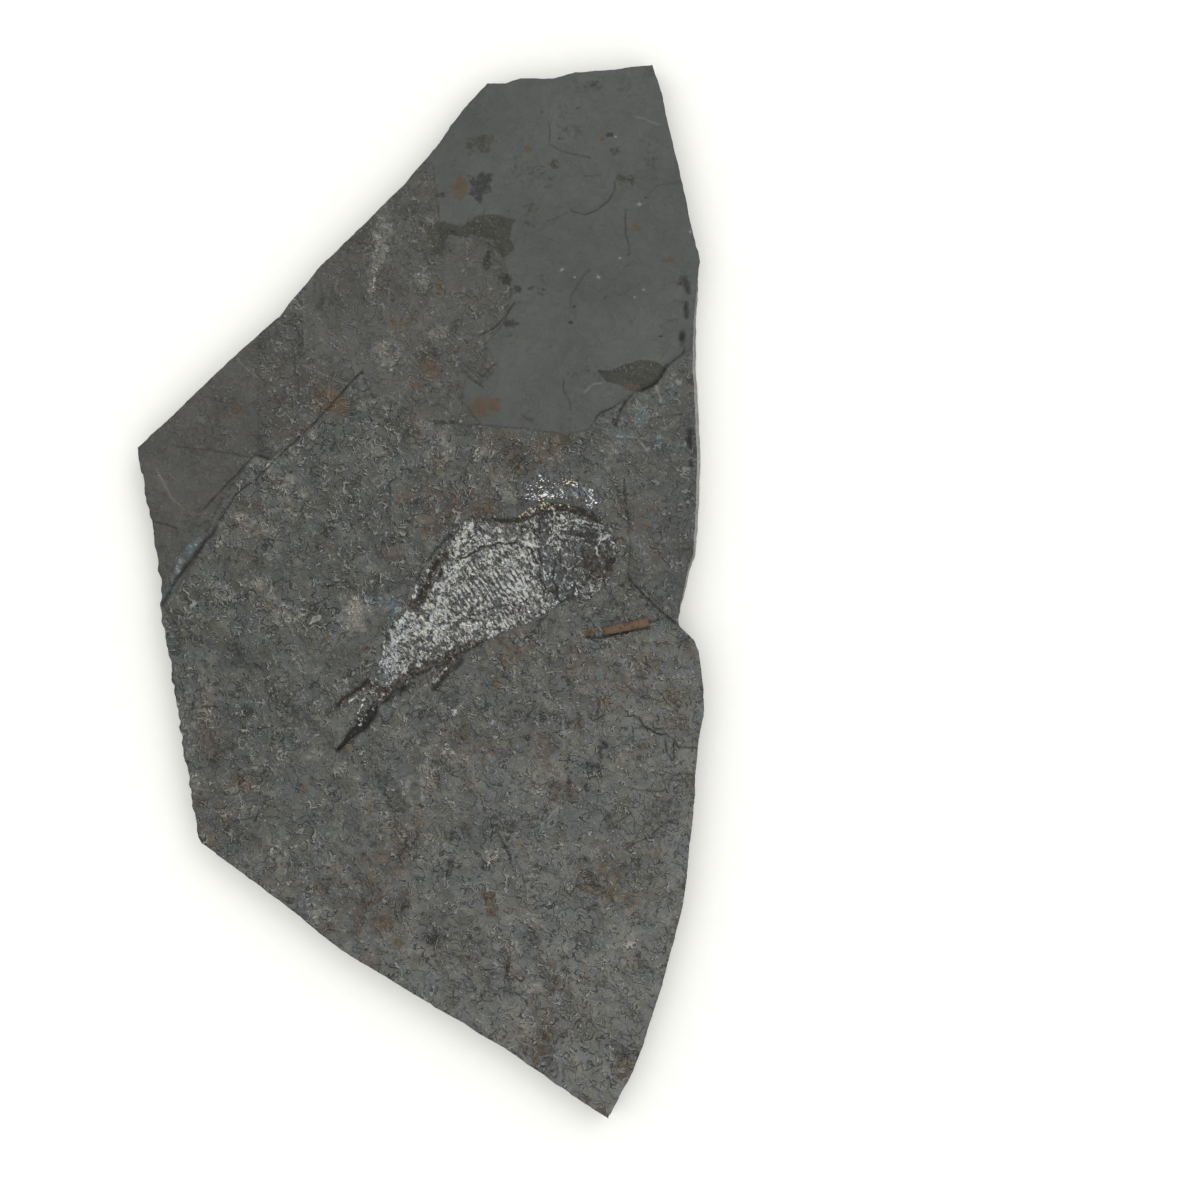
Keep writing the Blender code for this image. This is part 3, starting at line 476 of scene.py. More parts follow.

# cracks and scratches: what it is, half its width, strength, points; "both" has a pale left lip, a painted
# highlight
slabLines = [
    # lines along the left ledge: their dark is painted shade at the foot of the step, their pale lips a painted
    # highlight
    ("dark", 0.26, 1, [(-47.8, -2.2), (-45.1, 2.5), (-41.5, 7.2), (-39.7, 9.8), (-38.4, 10.8),
        (-36.9, 13.9)]), ("both", 0.14, 0.7, [(-40.5, 14.9), (-37.2, 18.6), (-33.6, 22.3), (-30.6, 25.3)]),
    ("dark", 0.16, 0.8, [(-36.9, 13.9), (-34.6, 17.6), (-29.4, 21.9)]),
    ("dark", 0.16, 0.8, [(-30.9, 25.6), (-27.8, 24.5)]),
    ("both", 0.15, 0.8, [(-29.4, 21.9), (-25.5, 25.8), (-20.5, 30.5), (-14.3, 37.2), (-11, 40.6)]),
    ("dark", 0.1, 0.45, [(-45.9, 26.9), (-38.6, 26.2), (-31.9, 25)]),
    ("dark", 0.14, 0.7, [(-49.6, 13.1), (-47.2, 12.7), (-44.9, 11.6)]),
    ("pale", 0.12, 0.45, [(-49, 22.5), (-47, 19.1), (-45.9, 17), (-44.1, 15.5)]),
    ("pale", 0.1, 0.35, [(-34, 42.9), (-29.4, 39)]), ("pale", 0.1, 0.3, [(-22.6, 42.4), (-13.8, 38.5)]),
    ("dark", 0.1, 0.5, [(-22.6, 42), (-22.6, 35.2)]), ("pale", 0.1, 0.3, [(-21.7, 55.9), (-21.5, 44.4)]),
    ("dark", 0.12, 0.45, [(23.8, 87.2), (23.8, 82.9), (26.2, 81.6), (27.7, 81.2), (31.7, 80.2)]),
    ("dark", 0.1, 0.4, [(29.9, 77), (33.5, 77.1)]),
    ("dark", 0.12, 0.55, [(35.9, 76.2), (35.9, 74.4), (34.7, 72.3), (32.9, 70.9), (30.5, 69.9), (28, 70.5),
        (27.4, 71.4)]), ("dark", 0.1, 0.35, [(27.4, 70.3), (25, 69.2), (23.2, 68.5)]),
    ("dark", 0.12, 0.5, [(37.9, 70.5), (37.9, 66.5), (38.5, 64.7), (38.5, 62.3)]),
    ("dark", 0.1, 0.3, [(42, 73.2), (43.5, 75.3), (48.1, 75.9)]),
    ("pale", 0.1, 0.3, [(39.6, 87.9), (41.4, 87.5), (44.5, 86.3)]),
    ("dark", 0.1, 0.4, [(4.7, 67), (8.3, 65.7), (11, 64.9), (14.2, 63.5)]),
    ("dark", 0.16, 0.75, [(17.4, 53.8), (16.2, 51.8), (15.4, 50.6), (13.4, 48.8), (10.7, 47.4)]),
    ("dark", 0.14, 0.6, [(8.7, 41.7), (11.4, 39.9), (14.2, 42.5)]),
    ("dark", 0.14, 0.6, [(8.7, 39.9), (11.8, 37.5)]), ("pale", 0.14, 0.6, [(0.2, 56.7), (0.7, 59.9)]),
    ("dark", 0.1, 0.35, [(27.9, 52.8), (27.9, 54.8), (29, 56.9), (31.3, 59.6)]),
    ("dark", 0.1, 0.45, [(26.4, 39.6), (26.4, 37.4), (27.6, 35.3), (27.9, 33.5)]),
    ("pale", 0.12, 0.5, [(30.4, 37.1), (31.9, 38.5), (33.7, 38.7)]),
    # lines along the right plate's step: painted shade at its foot, and a painted highlight on its lip
    ("dark", 0.24, 1, [(45.6, 42), (44.8, 40.2), (43.7, 38.8), (41, 37.3)]),
    ("dark", 0.16, 0.8, [(45.2, 41.4), (46.5, 42.6), (48.3, 43.8), (48.9, 45.3)]),
    ("dark", 0.2, 0.85, [(39.2, 36.4), (37.3, 34.4), (36.4, 32), (36.1, 30.5)]),
    ("both", 0.16, 0.8, [(36.1, 34.4), (34.3, 33.6), (32.8, 32.6), (32.2, 31.1)]),
    ("pale", 0.24, 0.9, [(43.6, 38), (44.5, 35.3)]),
    ("pale", 0.14, 0.9, [(36.4, 28.9), (40.1, 28.6), (41.9, 26.2), (42.2, 26.8)]),
    ("dark", 0.1, 0.6, [(44.9, 32.6), (48.9, 32.9)]), ("dark", 0.35, 0.8, [(49.5, 57), (49.5, 55.4)]),
    ("dark", 0.3, 0.8, [(49.2, 53.5), (49.2, 51)]), ("dark", 0.4, 1, [(48.4, 48), (48.4, 46.2)]),
    ("dark", 0.4, 1, [(49.8, 29.8), (49.8, 27.1)]), ("dark", 0.3, 1, [(50, 24.1), (50, 23.5)]),
    ("dark", 0.14, 0.6, [(37.6, 21.1), (37.8, 17.8), (38.5, 13.5), (38.8, 8.8), (38.5, 2.6)]),
    ("both", 0.2, 0.9, [(38.5, 2.6), (40.9, -0.3), (45.2, -4.1), (47.6, -6)]),
    ("dark", 0.16, 0.7, [(49.9, -8.5), (47.3, -9.6)]),
    ("both", 0.16, 0.8, [(31.4, -8.6), (34.3, -8.1), (40, -6.4), (44.7, -5)]),
    ("dark", 0.3, 1.2, [(-12.3, -25.9), (-13.8, -27.6), (-15.3, -29.3)]),
    ("dark", 1.05, 1.2, [(-8.9, -22), (-10.3, -23.8), (-11.4, -25)]),
    ("dark", 0.65, 1.2, [(-11.2, -24.8), (-12.2, -26), (-13.2, -27)]),
    ("dark", 0.5, 1, [(-9, -20.6), (-6.8, -20), (-4.6, -18.8), (-2.4, -17.4)]),
    ("dark", 0.45, 0.9, [(7.6, -12.8), (5, -14.8), (2.4, -18)]),
    ("dark", 0.3, 0.9, [(-9.6, -16.2), (-11.6, -17.6), (-13.6, -19.2), (-15.6, -21.2)]),
    ("dark", 0.35, 0.8, [(-0.2, 2.6), (1.6, 5.4), (3.4, 8.2), (5.4, 10.4)]),
    # the dark line along the lower edge of the stem is its painted shadow
    ("dark", 0.16, 0.9, [(30.4, -8.3), (33.6, -8.5), (38, -7.4), (42.4, -6.6)]),
    ("dark", 0.16, 0.8, [(-19.3, 1.7), (-18.2, 0.9), (-15.7, 1.3)]),
    ("dark", 0.12, 0.6, [(-13.6, 5.9), (-13, 4.4)]), ("dark", 0.1, 0.5, [(-43.5, -21.5), (-37.4, -21.1)]),
    ("dark", 0.12, 0.5, [(-35.4, -42.9), (-31.2, -41.6), (-27.8, -41.6)]),
    ("dark", 0.14, 0.7, [(37.4, -16.7), (39.1, -18.2), (40.1, -19.2), (42.9, -19.9), (44.8, -20.3)]),
    ("dark", 0.18, 0.9, [(39.1, -22.8), (40.3, -23.3), (41.2, -24.7), (43.7, -26.2), (45.4, -26.4),
        (46.9, -27.3), (47.7, -28.8), (51.3, -28.9)]),
    ("dark", 0.16, 0.9, [(45.2, -26.9), (45.4, -29), (46.5, -31.1), (46.9, -30.7), (46.7, -27.7)]),
    ("dark", 0.12, 0.6, [(47.1, -34), (48.4, -33.4), (51.3, -33.8)]),
    ("dark", 0.12, 0.6, [(46.7, -34), (45.8, -36.6), (44.1, -37), (41.6, -36.8), (38.2, -36.2)]),
    ("dark", 0.12, 0.6, [(34.8, -43.3), (36.1, -42.7), (39.1, -40.8)]),
    ("dark", 0.12, 0.6, [(37.8, -48), (38.7, -46.9), (42, -45.5), (44.1, -43.8), (45.8, -42.5),
        (49.2, -43.3)]), ("dark", 0.16, 0.8, [(14.3, -44.6), (15.6, -47.2), (16.9, -49.7)]),
    ("dark", 0.1, 0.5, [(14.1, -18.8), (14.5, -24.3)]), ("dark", 0.1, 0.6, [(15.8, -28.1), (16.2, -29.4)]),
    ("dark", 0.12, 0.6, [(6.1, -35.7), (7.4, -36.6)]), ("pale", 0.14, 0.7, [(26.4, -23), (26.6, -28.9)]),
    ("pale", 0.16, 0.8, [(22.2, -43.3), (24.4, -41), (26, -39.5)]),
    ("dark", 0.14, 0.7, [(16.3, -67.6), (15.5, -71.8)]),
    ("dark", 0.14, 0.7, [(14.2, -81.3), (12.6, -82.4)]), ("pale", 0.2, 0.8, [(1.4, -30), (1.2, -31.8)]),
    ("pale", 0.2, 0.8, [(0.2, -36.2), (0.4, -38)]), ("pale", 0.16, 0.7, [(-42.1, -24.2), (-41.5, -25.3)]),
    ("pale", 0.16, 0.7, [(-17.7, -17.4), (-17, -18.2)]), ("pale", 0.16, 0.7, [(-8.2, -30.1), (-7.4, -31)]),
    ("dark", 0.2, 0.8, [(27.2, -34), (27.5, -35.2)]),
]

# round flakes lying in the layer, drawn with a painted shadow below and a painted highlight above: x, y, radius
roundFlakes = [
    (-16.4, 4.1, 2), (-6.8, 33.5, 3), (-6.4, 43.8, 2.6), (-36.4, -1.2, 2.3), (-16.1, -37.6, 1.4),
    (-42.7, -19.6, 1.2), (18, -34.3, 1.5), (-27.1, -6.2, 0.9), (4.5, 20.5, 1.4), (-24, 12.5, 1.7),
    (30.5, -57.5, 1.5), (8, -60, 1.8), (21.5, -15.5, 1.3),
]

# stained or chipped patches: what it is, strength, outline
slabPatches = [
    ("dark", 0.75, [(8.6, 77.6), (10.4, 76.9), (11.6, 77.9), (13.6, 77.4), (12.8, 75.8), (13.3, 73.9),
        (11.6, 73.3), (11, 71.9), (9.6, 73.2), (8.5, 73.6), (9.2, 75.2)]),
    ("olive", 1.2, [(-0.6, 69), (2, 67.4), (4.4, 68.6), (7.4, 67.6), (10.2, 69.6), (14, 69.8), (17.4, 69),
        (16.6, 66.4), (17.4, 63.4), (15, 61.8), (13.4, 65.2), (9, 66.2), (5.2, 66), (3.8, 62.8),
        (1.8, 62.4), (1.4, 65.2)]),
    ("olive", 1.9, [(32.6, 41.1), (34.9, 40.9), (37.9, 42), (40.4, 43.1), (43.4, 42.5), (45.2, 41.4),
        (43.7, 38.7), (40.7, 37.1), (38.6, 37.4), (37.3, 38.4), (34.3, 39.1)]),
    ("smooth", 0.8, [(3, 66), (9, 65), (12.4, 62), (11.4, 56), (5.4, 55.6), (2.8, 59)]),
    ("smooth", 0.5, [(-44, 24), (-32, 23), (-38, 15), (-46, 8), (-48.5, 18)]),
    ("pale", 0.4, [(45.3, -27.2), (45.6, -29.2), (46.5, -30.8), (46.7, -27.9)]),
]

# marks on the surface: what it is, then x, y, width, height, turn in degrees, strength of each
slabMarks = {
    "rust": [
        (32.2, -7.3, 3.8, 1.7, 10, 1.1), (7.3, 74.8, 2.6, 3.8, 0, 1.4), (3.5, 56.1, 1.5, 4.5, 12, 0.7),
        (39.6, 67.7, 2.4, 2, 0, 0.9), (46.3, 61.6, 2, 2, 0, 0.6), (39.2, 38, 3.4, 1.3, 0, 1),
        (-35, 33.3, 4.6, 2.8, 10, 0.6), (-17.6, 35.6, 4.4, 4.6, 30, 1.5), (-14.4, 34.2, 3.4, 3.6, 0, 1.3),
        (-21.3, 29.6, 2.6, 1.9, 0, 0.6), (1.9, 41.1, 4.4, 4, 0, 1.1), (-1.2, 38.3, 2.5, 2, 0, 0.7),
        (11.8, 34.3, 6, 4, 15, 0.8), (14, 33.5, 2.2, 2, 0, 1), (-4, 49.8, 5, 3, 0, 0.7),
        (20, 82, 2, 1.2, 0, 0.7), (27.4, 85, 1.2, 1.2, 0, 0.6), (33.7, 83.7, 1.5, 1.3, 0, 0.6),
        (47.2, 30.4, 0.9, 0.9, 0, 0.9), (43.1, 8.1, 1.5, 3.4, 35, 0.9), (41.9, 12, 1.2, 2.4, 20, 0.6),
        (49.5, -11.2, 3, 3.4, 0, 0.5), (14.3, -17.1, 2, 2.6, 0, 1), (2.7, -35.3, 2.2, 3.2, 0, 0.9),
        (33.6, -20.1, 5, 1.7, -8, 0.8), (42, -28.5, 5, 1.5, 0, 0.7), (12.4, -56, 3.2, 2.6, 0, 0.8),
        (12.9, -58.8, 3.4, 3.6, 0, 0.7), (29.3, -47.6, 2, 1.4, 0, 0.7), (32.5, -46.3, 1.8, 1.4, 0, 0.7),
        (35.3, -47.4, 1.6, 1.3, 0, 0.7), (-6.9, -61.2, 5, 3.5, 0, 0.9), (-16.4, -62, 2.8, 2.2, 0, 0.6),
        (22, -80, 14, 12, 0, 0.35), (22.7, -85.5, 1.2, 1.2, 0, 1), (37.5, -88.2, 2.6, 4, 0, 1),
        (47.5, -60.9, 1.6, 2, 0, 0.7), (-39.7, -24.7, 5, 14, 8, 0.5), (-33.1, -35.5, 5, 5, 0, 0.6),
        (-9.4, -39.7, 2, 3, 0, 0.8), (-21.6, -36.6, 2, 2, 0, 0.6), (-27.4, 0.2, 4, 2.6, 0, 0.5),
        (-31.7, 16.1, 2.6, 2.2, 0, 0.7), (-16.7, -8.3, 1.8, 2.4, 0, 0.8), (-9.8, -10.6, 1.8, 1.6, 0, 0.8),
        (27.9, -14.6, 3.4, 2.6, 0, 0.5), (-3.7, -65.3, 3.3, 1.9, 0, 0.6), (4, 24.5, 4.5, 3, 0, 0.35),
        (17, -70, 4, 6, 20, 0.4)],
    "dark": [
        (3.7, 73.5, 2, 1, 0, 0.8), (16, 58.1, 2.6, 2, 0, 1), (18, 55.9, 1.9, 1.6, 0, 1),
        (20.3, 56.2, 1.4, 0.8, 0, 0.7), (22.6, 56, 0.9, 0.7, 0, 0.7), (16.6, 49.8, 3, 1.5, 0, 0.8),
        (25.6, 84, 0.8, 0.8, 0, 0.8), (35, 84.6, 1.7, 1, 0, 1), (29, 89.6, 0.7, 0.6, 0, 0.8),
        (31.7, 93.9, 4, 2, 0, 0.5), (41.7, 73, 0.7, 0.6, 0, 0.8), (27.8, 49.9, 1.1, 0.6, 0, 0.8),
        (28.4, 52.8, 0.8, 0.6, 0, 0.8), (44.6, 47.3, 1, 0.5, 0, 0.8), (48.4, 57.7, 2.6, 2, 0, 0.8),
        (0.9, 42.7, 0.7, 0.7, 0, 1), (2.3, 41.5, 0.7, 0.7, 0, 1), (3.9, 40.9, 0.6, 0.6, 0, 1),
        (-0.4, 40.3, 0.6, 0.6, 0, 1), (0.9, 38.3, 0.7, 0.6, 0, 1), (1.9, 37.1, 0.6, 0.6, 0, 1),
        (-32, -22.2, 2.6, 2.6, 0, 1), (33.4, -29, 2.4, 3.4, 0, 1), (1.8, -64.1, 6, 2.2, 0, 0.9),
        (-45.2, -10.2, 3, 3, 0, 0.6), (30.2, -49.5, 2, 1.6, 0, 0.8), (30.4, -51.6, 2, 1.2, 0, 0.8),
        (25.1, -23.8, 0.8, 0.8, 0, 1), (29.6, -41.9, 0.9, 0.9, 0, 1), (29.3, -45.7, 0.8, 0.8, 0, 1),
        (30.8, -31.7, 0.7, 0.7, 0, 1), (27.4, -31.1, 0.7, 0.7, 0, 1), (25.1, -79, 1.3, 1.3, 0, 1),
        (36.4, -85.4, 0.9, 0.9, 0, 1), (-40.8, -18.2, 0.8, 0.7, 0, 1), (-37.9, -19, 0.8, 0.7, 0, 1),
        (-40.4, -22.2, 0.7, 0.7, 0, 1), (-10.9, 40.7, 0.9, 0.9, 0, 1), (4, 31.3, 6.5, 0.9, 0, 0.8),
        (-27.1, -6.2, 1.3, 0.8, 0, 1), (44.6, 9.6, 0.6, 0.6, 0, 1), (42, 6.4, 0.6, 0.6, 0, 1),
        (12, -50.6, 1.6, 2.4, 0, 0.6), (-12.9, 17, 2.2, 1.4, 20, 0.6)],
    "olive": [
        (11, 83, 5, 4, 0, 0.6), (24.9, 79.4, 1.9, 1.5, 0, 1), (35.6, 81.9, 3, 2, 0, 0.5),
        (37, 76.6, 1.9, 2.6, 0, 1), (38.9, 76.4, 1.7, 2.2, 0, 1), (1.9, 65.9, 2.4, 6.5, -38, 0.8),
        (8.2, 67, 4.4, 2.6, 0, 0.8), (13.8, 68.3, 7.4, 3.4, -10, 0.8), (15.8, 63.5, 3.2, 2.6, 0, 0.8),
        (-17, -22.6, 2.4, 2, 0, 0.9), (40.3, -30.7, 2.2, 1.4, 0, 0.8), (2.3, -49.3, 2.6, 1.8, 0, 0.7),
        (5.7, -50.3, 2.2, 1.6, 0, 0.7), (12.9, -43.8, 2.4, 1.8, 0, 0.7), (-36, 6, 7, 4, 30, 0.4),
        (31.4, -7.6, 2, 1.5, 8, 0.7), (-2, 70.5, 5, 2.5, 45, 0.5), (20.5, 71, 4, 2, -20, 0.4),
        (-30, 44, 6, 3, 40, 0.4)],
    "pit": [
        (12.2, 60.9, 1.6, 3.6, -14, 1), (35.8, 31.4, 0.9, 1.4, 0, 0.8)],
    "pale": [
        (-7.8, 63.6, 3.4, 16, -12, 0.75), (-12.4, -4.4, 6, 8, -30, 1), (0.8, -34.5, 3.6, 8.6, 12, 1),
        (-2.4, -35.7, 1.8, 2.2, 0, 0.8), (6.9, -21.8, 3, 1.5, 45, 0.9), (20.8, -73.4, 4, 1.8, 0, 1),
        (26.9, -65.7, 1.4, 2.6, 0, 1), (13.3, -48.6, 2.5, 3.5, 0, 1), (-6.4, 43.8, 5, 5, 0, 0.7),
        (0.3, 57.5, 2.6, 4.1, 20, 0.7), (47.6, -5.5, 1.6, 1.4, 0, 0.9), (-36.4, -0.6, 4.4, 3.6, 0, 0.5),
        (-20, -30, 5, 3.6, 20, 0.5), (18.4, -60.5, 4, 3, 0, 0.5), (36, -66, 3, 5, 10, 0.5),
        (21, -36, 3.6, 5, 0, 0.5), (-26, -17, 4, 3, 0, 0.4), (3, 48, 4, 3, 30, 0.5),
        (-5.6, 22, 5, 3, 30, 0.4), (10.5, 26, 4, 2.2, 0, 0.5), (-22, 18, 5, 3.4, 40, 0.5)],
    "blue": [
        (40.7, 32.3, 3, 3.6, -20, 1), (37.3, 28.9, 2.6, 1.2, 0, 0.9), (-42.2, 8.6, 1.8, 6.4, -38, 0.55),
        (-44.7, 4.8, 1.4, 3.8, -20, 1), (-46.2, 0.6, 1.2, 3.2, -20, 0.6), (-4.6, -4.2, 2.6, 9, 22, 0.8),
        (-8.8, -1.6, 4, 3, 0, 0.7), (44, 28, 2.4, 5, 15, 0.4), (46.4, 37, 2, 4, 0, 0.4)],
    "white": [
        (26.2, 59.7, 1, 0.4, 30, 1), (32.9, 58.3, 0.8, 0.5, -30, 1), (28.5, 58.3, 0.5, 0.5, 0, 1),
        (36.9, 61.8, 0.5, 0.5, 0, 1), (49.9, 66.7, 0.5, 0.6, 0, 1), (41.3, 56, 0.6, 0.4, 0, 1),
        (39.6, 54.6, 0.5, 0.4, 0, 0.9), (7.4, 31.6, 0.7, 0.7, 0, 1.2), (36.1, 84.3, 0.5, 0.5, 0, 1),
        (40.5, 71.8, 0.9, 0.7, 0, 0.9), (-23.2, -2.7, 0.5, 0.5, 0, 1), (-31.8, -24.4, 0.6, 0.5, 0, 1),
        (-28.1, -24.7, 0.5, 0.5, 0, 1), (38.2, -29.1, 0.9, 0.8, 0, 1), (7.9, 59.5, 0.9, 0.4, 40, 0.6),
        (8.7, 61.7, 0.9, 0.4, 20, 0.6), (13, 56.1, 0.7, 0.4, 0, 0.7), (11.4, 48.2, 0.8, 0.4, 0, 0.7),
        (20.2, -73.6, 2, 0.6, 5, 0.7), (21.4, -72.8, 1.6, 0.5, 5, 0.7), (49, 27.3, 0.5, 1, 0, 0.8),
        (-44.6, 5.6, 0.6, 0.9, 0, 0.8), (-45, 3.8, 0.5, 0.9, 0, 0.8), (-7.4, -1.2, 0.9, 0.7, 0, 0.8)],
}

# colours of each layer and mark, as reflectance
slabColours = {
    "plate": (0.0755, 0.079, 0.0745), "leftPlate": (0.066, 0.065, 0.060),
    "stained": (0.071, 0.0705, 0.065), "fishLayer": (0.074, 0.077, 0.071),
    "fishLayerLow": (0.113, 0.115, 0.108), "rightPlate": (0.074, 0.077, 0.072),
    "corner": (0.077, 0.080, 0.074), "side": (0.40, 0.40, 0.385), "under": (0.066, 0.067, 0.064),
}


def unit(ways):
    return ways / np.linalg.norm(ways, axis=1)[:, None]


def edgeNormals(points):
    p = np.array(points)
    ahead, behind = np.roll(p, -1, 0) - p, p - np.roll(p, 1, 0)
    with np.errstate(invalid="ignore"):          # a doubled point has no direction and drops out
        way = unit(ahead) + unit(behind)
        way = unit(way)
    return np.c_[-way[:, 1], way[:, 0]]          # outward on a clockwise outline


# 1 along the stretch of the right side that slopes outward below its top edge
def rightShare(x, y):
    share = np.clip((y + 6.5) / 67.5, 0, 1)
    return np.where(x > 44, np.sin(np.pi * share) ** 0.4, 0.0)


slabOutline = slab["right"] + slab["lower"] + slab["left"] + slab["upper"]
rim = np.array(roughLine(slabOutline, slab["edgeStep"], slab["roughness"], 5, closed=True))
rimNormal = edgeNormals(rim)
serrated = ((rim[:, 0] < -38) & (rim[:, 1] < 22)).astype(float)
teeth = swell(rim[:, 0] * 0, rim[:, 1], 1.5, 61, 2) * 0.9 * serrated
inset = 0.12 + slab["rightFlare"] * rightShare(rim[:, 0], rim[:, 1])
topRim = rim + rimNormal * (teeth - inset)[:, None]

fishLayerShape = (roughLine(leftLedge, 0.7, 0.3, 11) + roughLine(farLedge, 0.7, 0.35, 12)[1:]
                  + [(60, 46), (60, -110), (-60, -110), (-60, -4)])
stainedShape = roughLine(stainedLedge, 0.8, 0.35, 13) + [(-30, 90), (-30, 26)]
leftPlateShape = roughLine(leftPlateEdge, 1.0, 0.15, 14) + [(-10, 30), (-60, -10), (-70, 60)]
rightPlateShape = roughLine(rightPlateEdge, 0.7, 0.18, 15) + [(60, -6), (60, 58)]
cornerShape = roughLine(cornerEdge, 0.8, 0.1, 16, closed=True)
roughPatches = [(kind, strength, roughLine(points, 0.5, 0.45, 70 + i, closed=True))
                for i, (kind, strength, points) in enumerate(slabPatches)]


def sideways(points, off):
    normals = edgeNormals(points + points[::-1][1:-1])[:len(points)]
    return [(p[0] + n[0] * off, p[1] + n[1] * off) for p, n in zip(points, normals)]


# every line wanders a little; one with a lip gets a pale line on its left, a painted highlight on the lit edge
def spreadLines():
    made = []
    for i, (kind, half, strength, points) in enumerate(slabLines):
        line = roughLine(points, 0.45, 0.28, 90 + i)
        made.append((line, half, strength if kind != "pale" else -strength))
        if kind == "both":
            made.append((sideways(line, 0.42), half * 0.8, -0.8 * strength))
    # dark lines round the layer steps and the sunken corner: painted shade at the foot of each step
    for shape, strength in ((fishLayerShape, 0.4), (stainedShape, 0.3), (cornerShape, 0.35)):
        made.append((shape, 0.14, strength))
    # each round flake: a painted shadow along its lower rim and a painted highlight along its upper rim
    for x, y, radius in roundFlakes:
        for first, strength in ((190, 0.45), (10, -0.35)):
            angles = [math.radians(first + 16 * k) for k in range(11)]
            line = [(x + radius * math.cos(a), y + radius * 0.9 * math.sin(a)) for a in angles]
            made.append((roughLine(line, 0.4, 0.35, 5 + len(made)), 0.12, strength))
    return made


roughLines = spreadLines()


# height of the upper face with every ledge, crack, flake and pit, plus its masks
def slabSurface(x, y):
    away = {name: shapeDistance(x, y, shape) for name, shape in (
        ("fish", fishLayerShape), ("stained", stainedShape), ("left", leftPlateShape),
        ("right", rightPlateShape), ("corner", cornerShape))}
    second = away["fish"] - 0.25 - 1.3 * cloud(x, y, 3.2, 20, 3) ** 2
    onFishLayer = fade(away["fish"], -0.1, 0.12)
    fishLayer = 0.6 * onFishLayer + 0.4 * fade(second, -0.1, 0.15)
    stained = fade(away["stained"], -0.12, 0.12) * (1 - onFishLayer)
    left = fade(away["left"], -0.12, 0.12) * (1 - onFishLayer)
    right = fade(away["right"], -0.1, 0.12)
    corner = fade(away["corner"], -0.15, 0.15)
    grainy = np.clip(fishLayer + 0.45 * stained + 0.25 * left, 0, 1) * (1 - 0.35 * right)

    z = slab["bedding"] + 0 * x
    z += slab["stainedRise"] * stained - slab["leftDrop"] * left + slab["fishRise"] * fishLayer
    z += slab["rightRise"] * right
    z -= slab["cornerDrop"] * corner
    z += swell(x, y, 26, 31, 3) * slab["swell"]
    z += swell(x, y, 6, 32, 3) * (0.06 + 0.12 * grainy)
    tone, gap, _, _ = flakeCells(x, y, 3.1, 40)
    z += grainy * (tone - 0.5) * 0.10 * fade(gap, 0.0, 0.2)
    tone, gap, offX, offY = flakeCells(x + 0.4 * cloud(x, y, 1.0, 41, 2), y, 1.15, 42)
    z += (0.02 + 0.10 * grainy) * ((tone - 0.5) + 0.7 * (tone - 0.5) * offX + 0.5 * offY * (tone - 0.4))
    z += swell(x, y, 0.9, 43, 2) * (0.02 + 0.10 * grainy)

    # a bed is let in under the fish and the loose scales
    bed = np.maximum(shapeDistance(x, y, fish["outline"]), shapeDistance(x, y, scatter["outline"]))
    bed = fade(bed, 0.45, 1.0)
    z = z * (1 - bed) + bed * (baseHeight(x, y) - fish["bedDepth"])
    crack, scratch = np.zeros(x.shape), np.zeros(x.shape)
    worn = np.clip(0.25 + 1.3 * cloud(x, y, 1.3, 88, 3), 0, 1)
    # cracks take painted shade along the steps and flake rims, scratches take painted highlights on the lips and
    # flake rims
    for points, half, strength in roughLines:
        drawn = crack if strength > 0 else scratch
        np.maximum(drawn, strokeReach(x, y, points, half) * worn * abs(strength), out=drawn)
    z += slab["lipRise"] * scratch - slab["crackDepth"] * crack
    return z, {"grainy": grainy, "fish": fishLayer, "stained": stained, "left": left, "right": right,
               "corner": corner, "crack": crack, "scratch": scratch}


def strokeReach(x, y, points, half):
    reach = np.zeros(x.shape)
    xs, ys = [p[0] for p in points], [p[1] for p in points]
    near = (x > min(xs) - 1) & (x < max(xs) + 1) & (y > min(ys) - 1) & (y < max(ys) + 1)
    reach[near] = fade(lineDistance(x[near], y[near], points), half * 2, half * 0.5)
    return reach


# how far each kind of mark reaches over the face, 0 to 1 or a little more
def markMasks(x, y):
    made = {}
    wobble = swell(x, y, 1.6, 91, 3) * 1.5
    for kind, marks in slabMarks.items():
        made[kind] = np.zeros(x.shape)
        for cx, cy, width, height, turn, strength in marks:
            angle = math.radians(turn)
            u = ((x - cx) * math.cos(angle) + (y - cy) * math.sin(angle)) / (width / 2)
            v = ((y - cy) * math.cos(angle) - (x - cx) * math.sin(angle)) / (height / 2)
            rough = wobble * min(1.0, min(width, height) / 2)
            reach = strength * fade(np.sqrt(u * u + v * v) + rough, 1.35, 0.35)
            made[kind] = np.maximum(made[kind], reach)
    made["smooth"] = np.zeros(x.shape)
    for kind, strength, points in roughPatches:
        made[kind] = np.maximum(made[kind], strength * fade(shapeDistance(x, y, points), -0.15, 0.35))
    return made


# extra mesh points where a small mark or a line needs them
def detailPoints():
    made = []
    for marks in slabMarks.values():
        for cx, cy, width, height, turn, _ in marks:
            if min(width, height) > 3:
                continue
            made.append((cx, cy))
            angle = math.radians(turn)
            for reach in (0.55, 1.15):
                for k in range(8):
                    u = width / 2 * reach * math.cos(k * math.pi / 4)
                    v = height / 2 * reach * math.sin(k * math.pi / 4)
                    made.append((cx + u * math.cos(angle) - v * math.sin(angle),
                                 cy + u * math.sin(angle) + v * math.cos(angle)))
    for points, _, _ in roughLines:
        for off in (-0.3, 0.0, 0.3):
            made += sideways(points, off)
    for shape in (leftPlateShape, rightPlateShape) + tuple(points for _, _, points in roughPatches):
        for off in (-0.15, 0.15):
            made += sideways(shape, off)
    return made


def blend(base, share, colour):
    return base * (1 - share[:, None]) + np.array(colour)[None, :] * share[:, None]


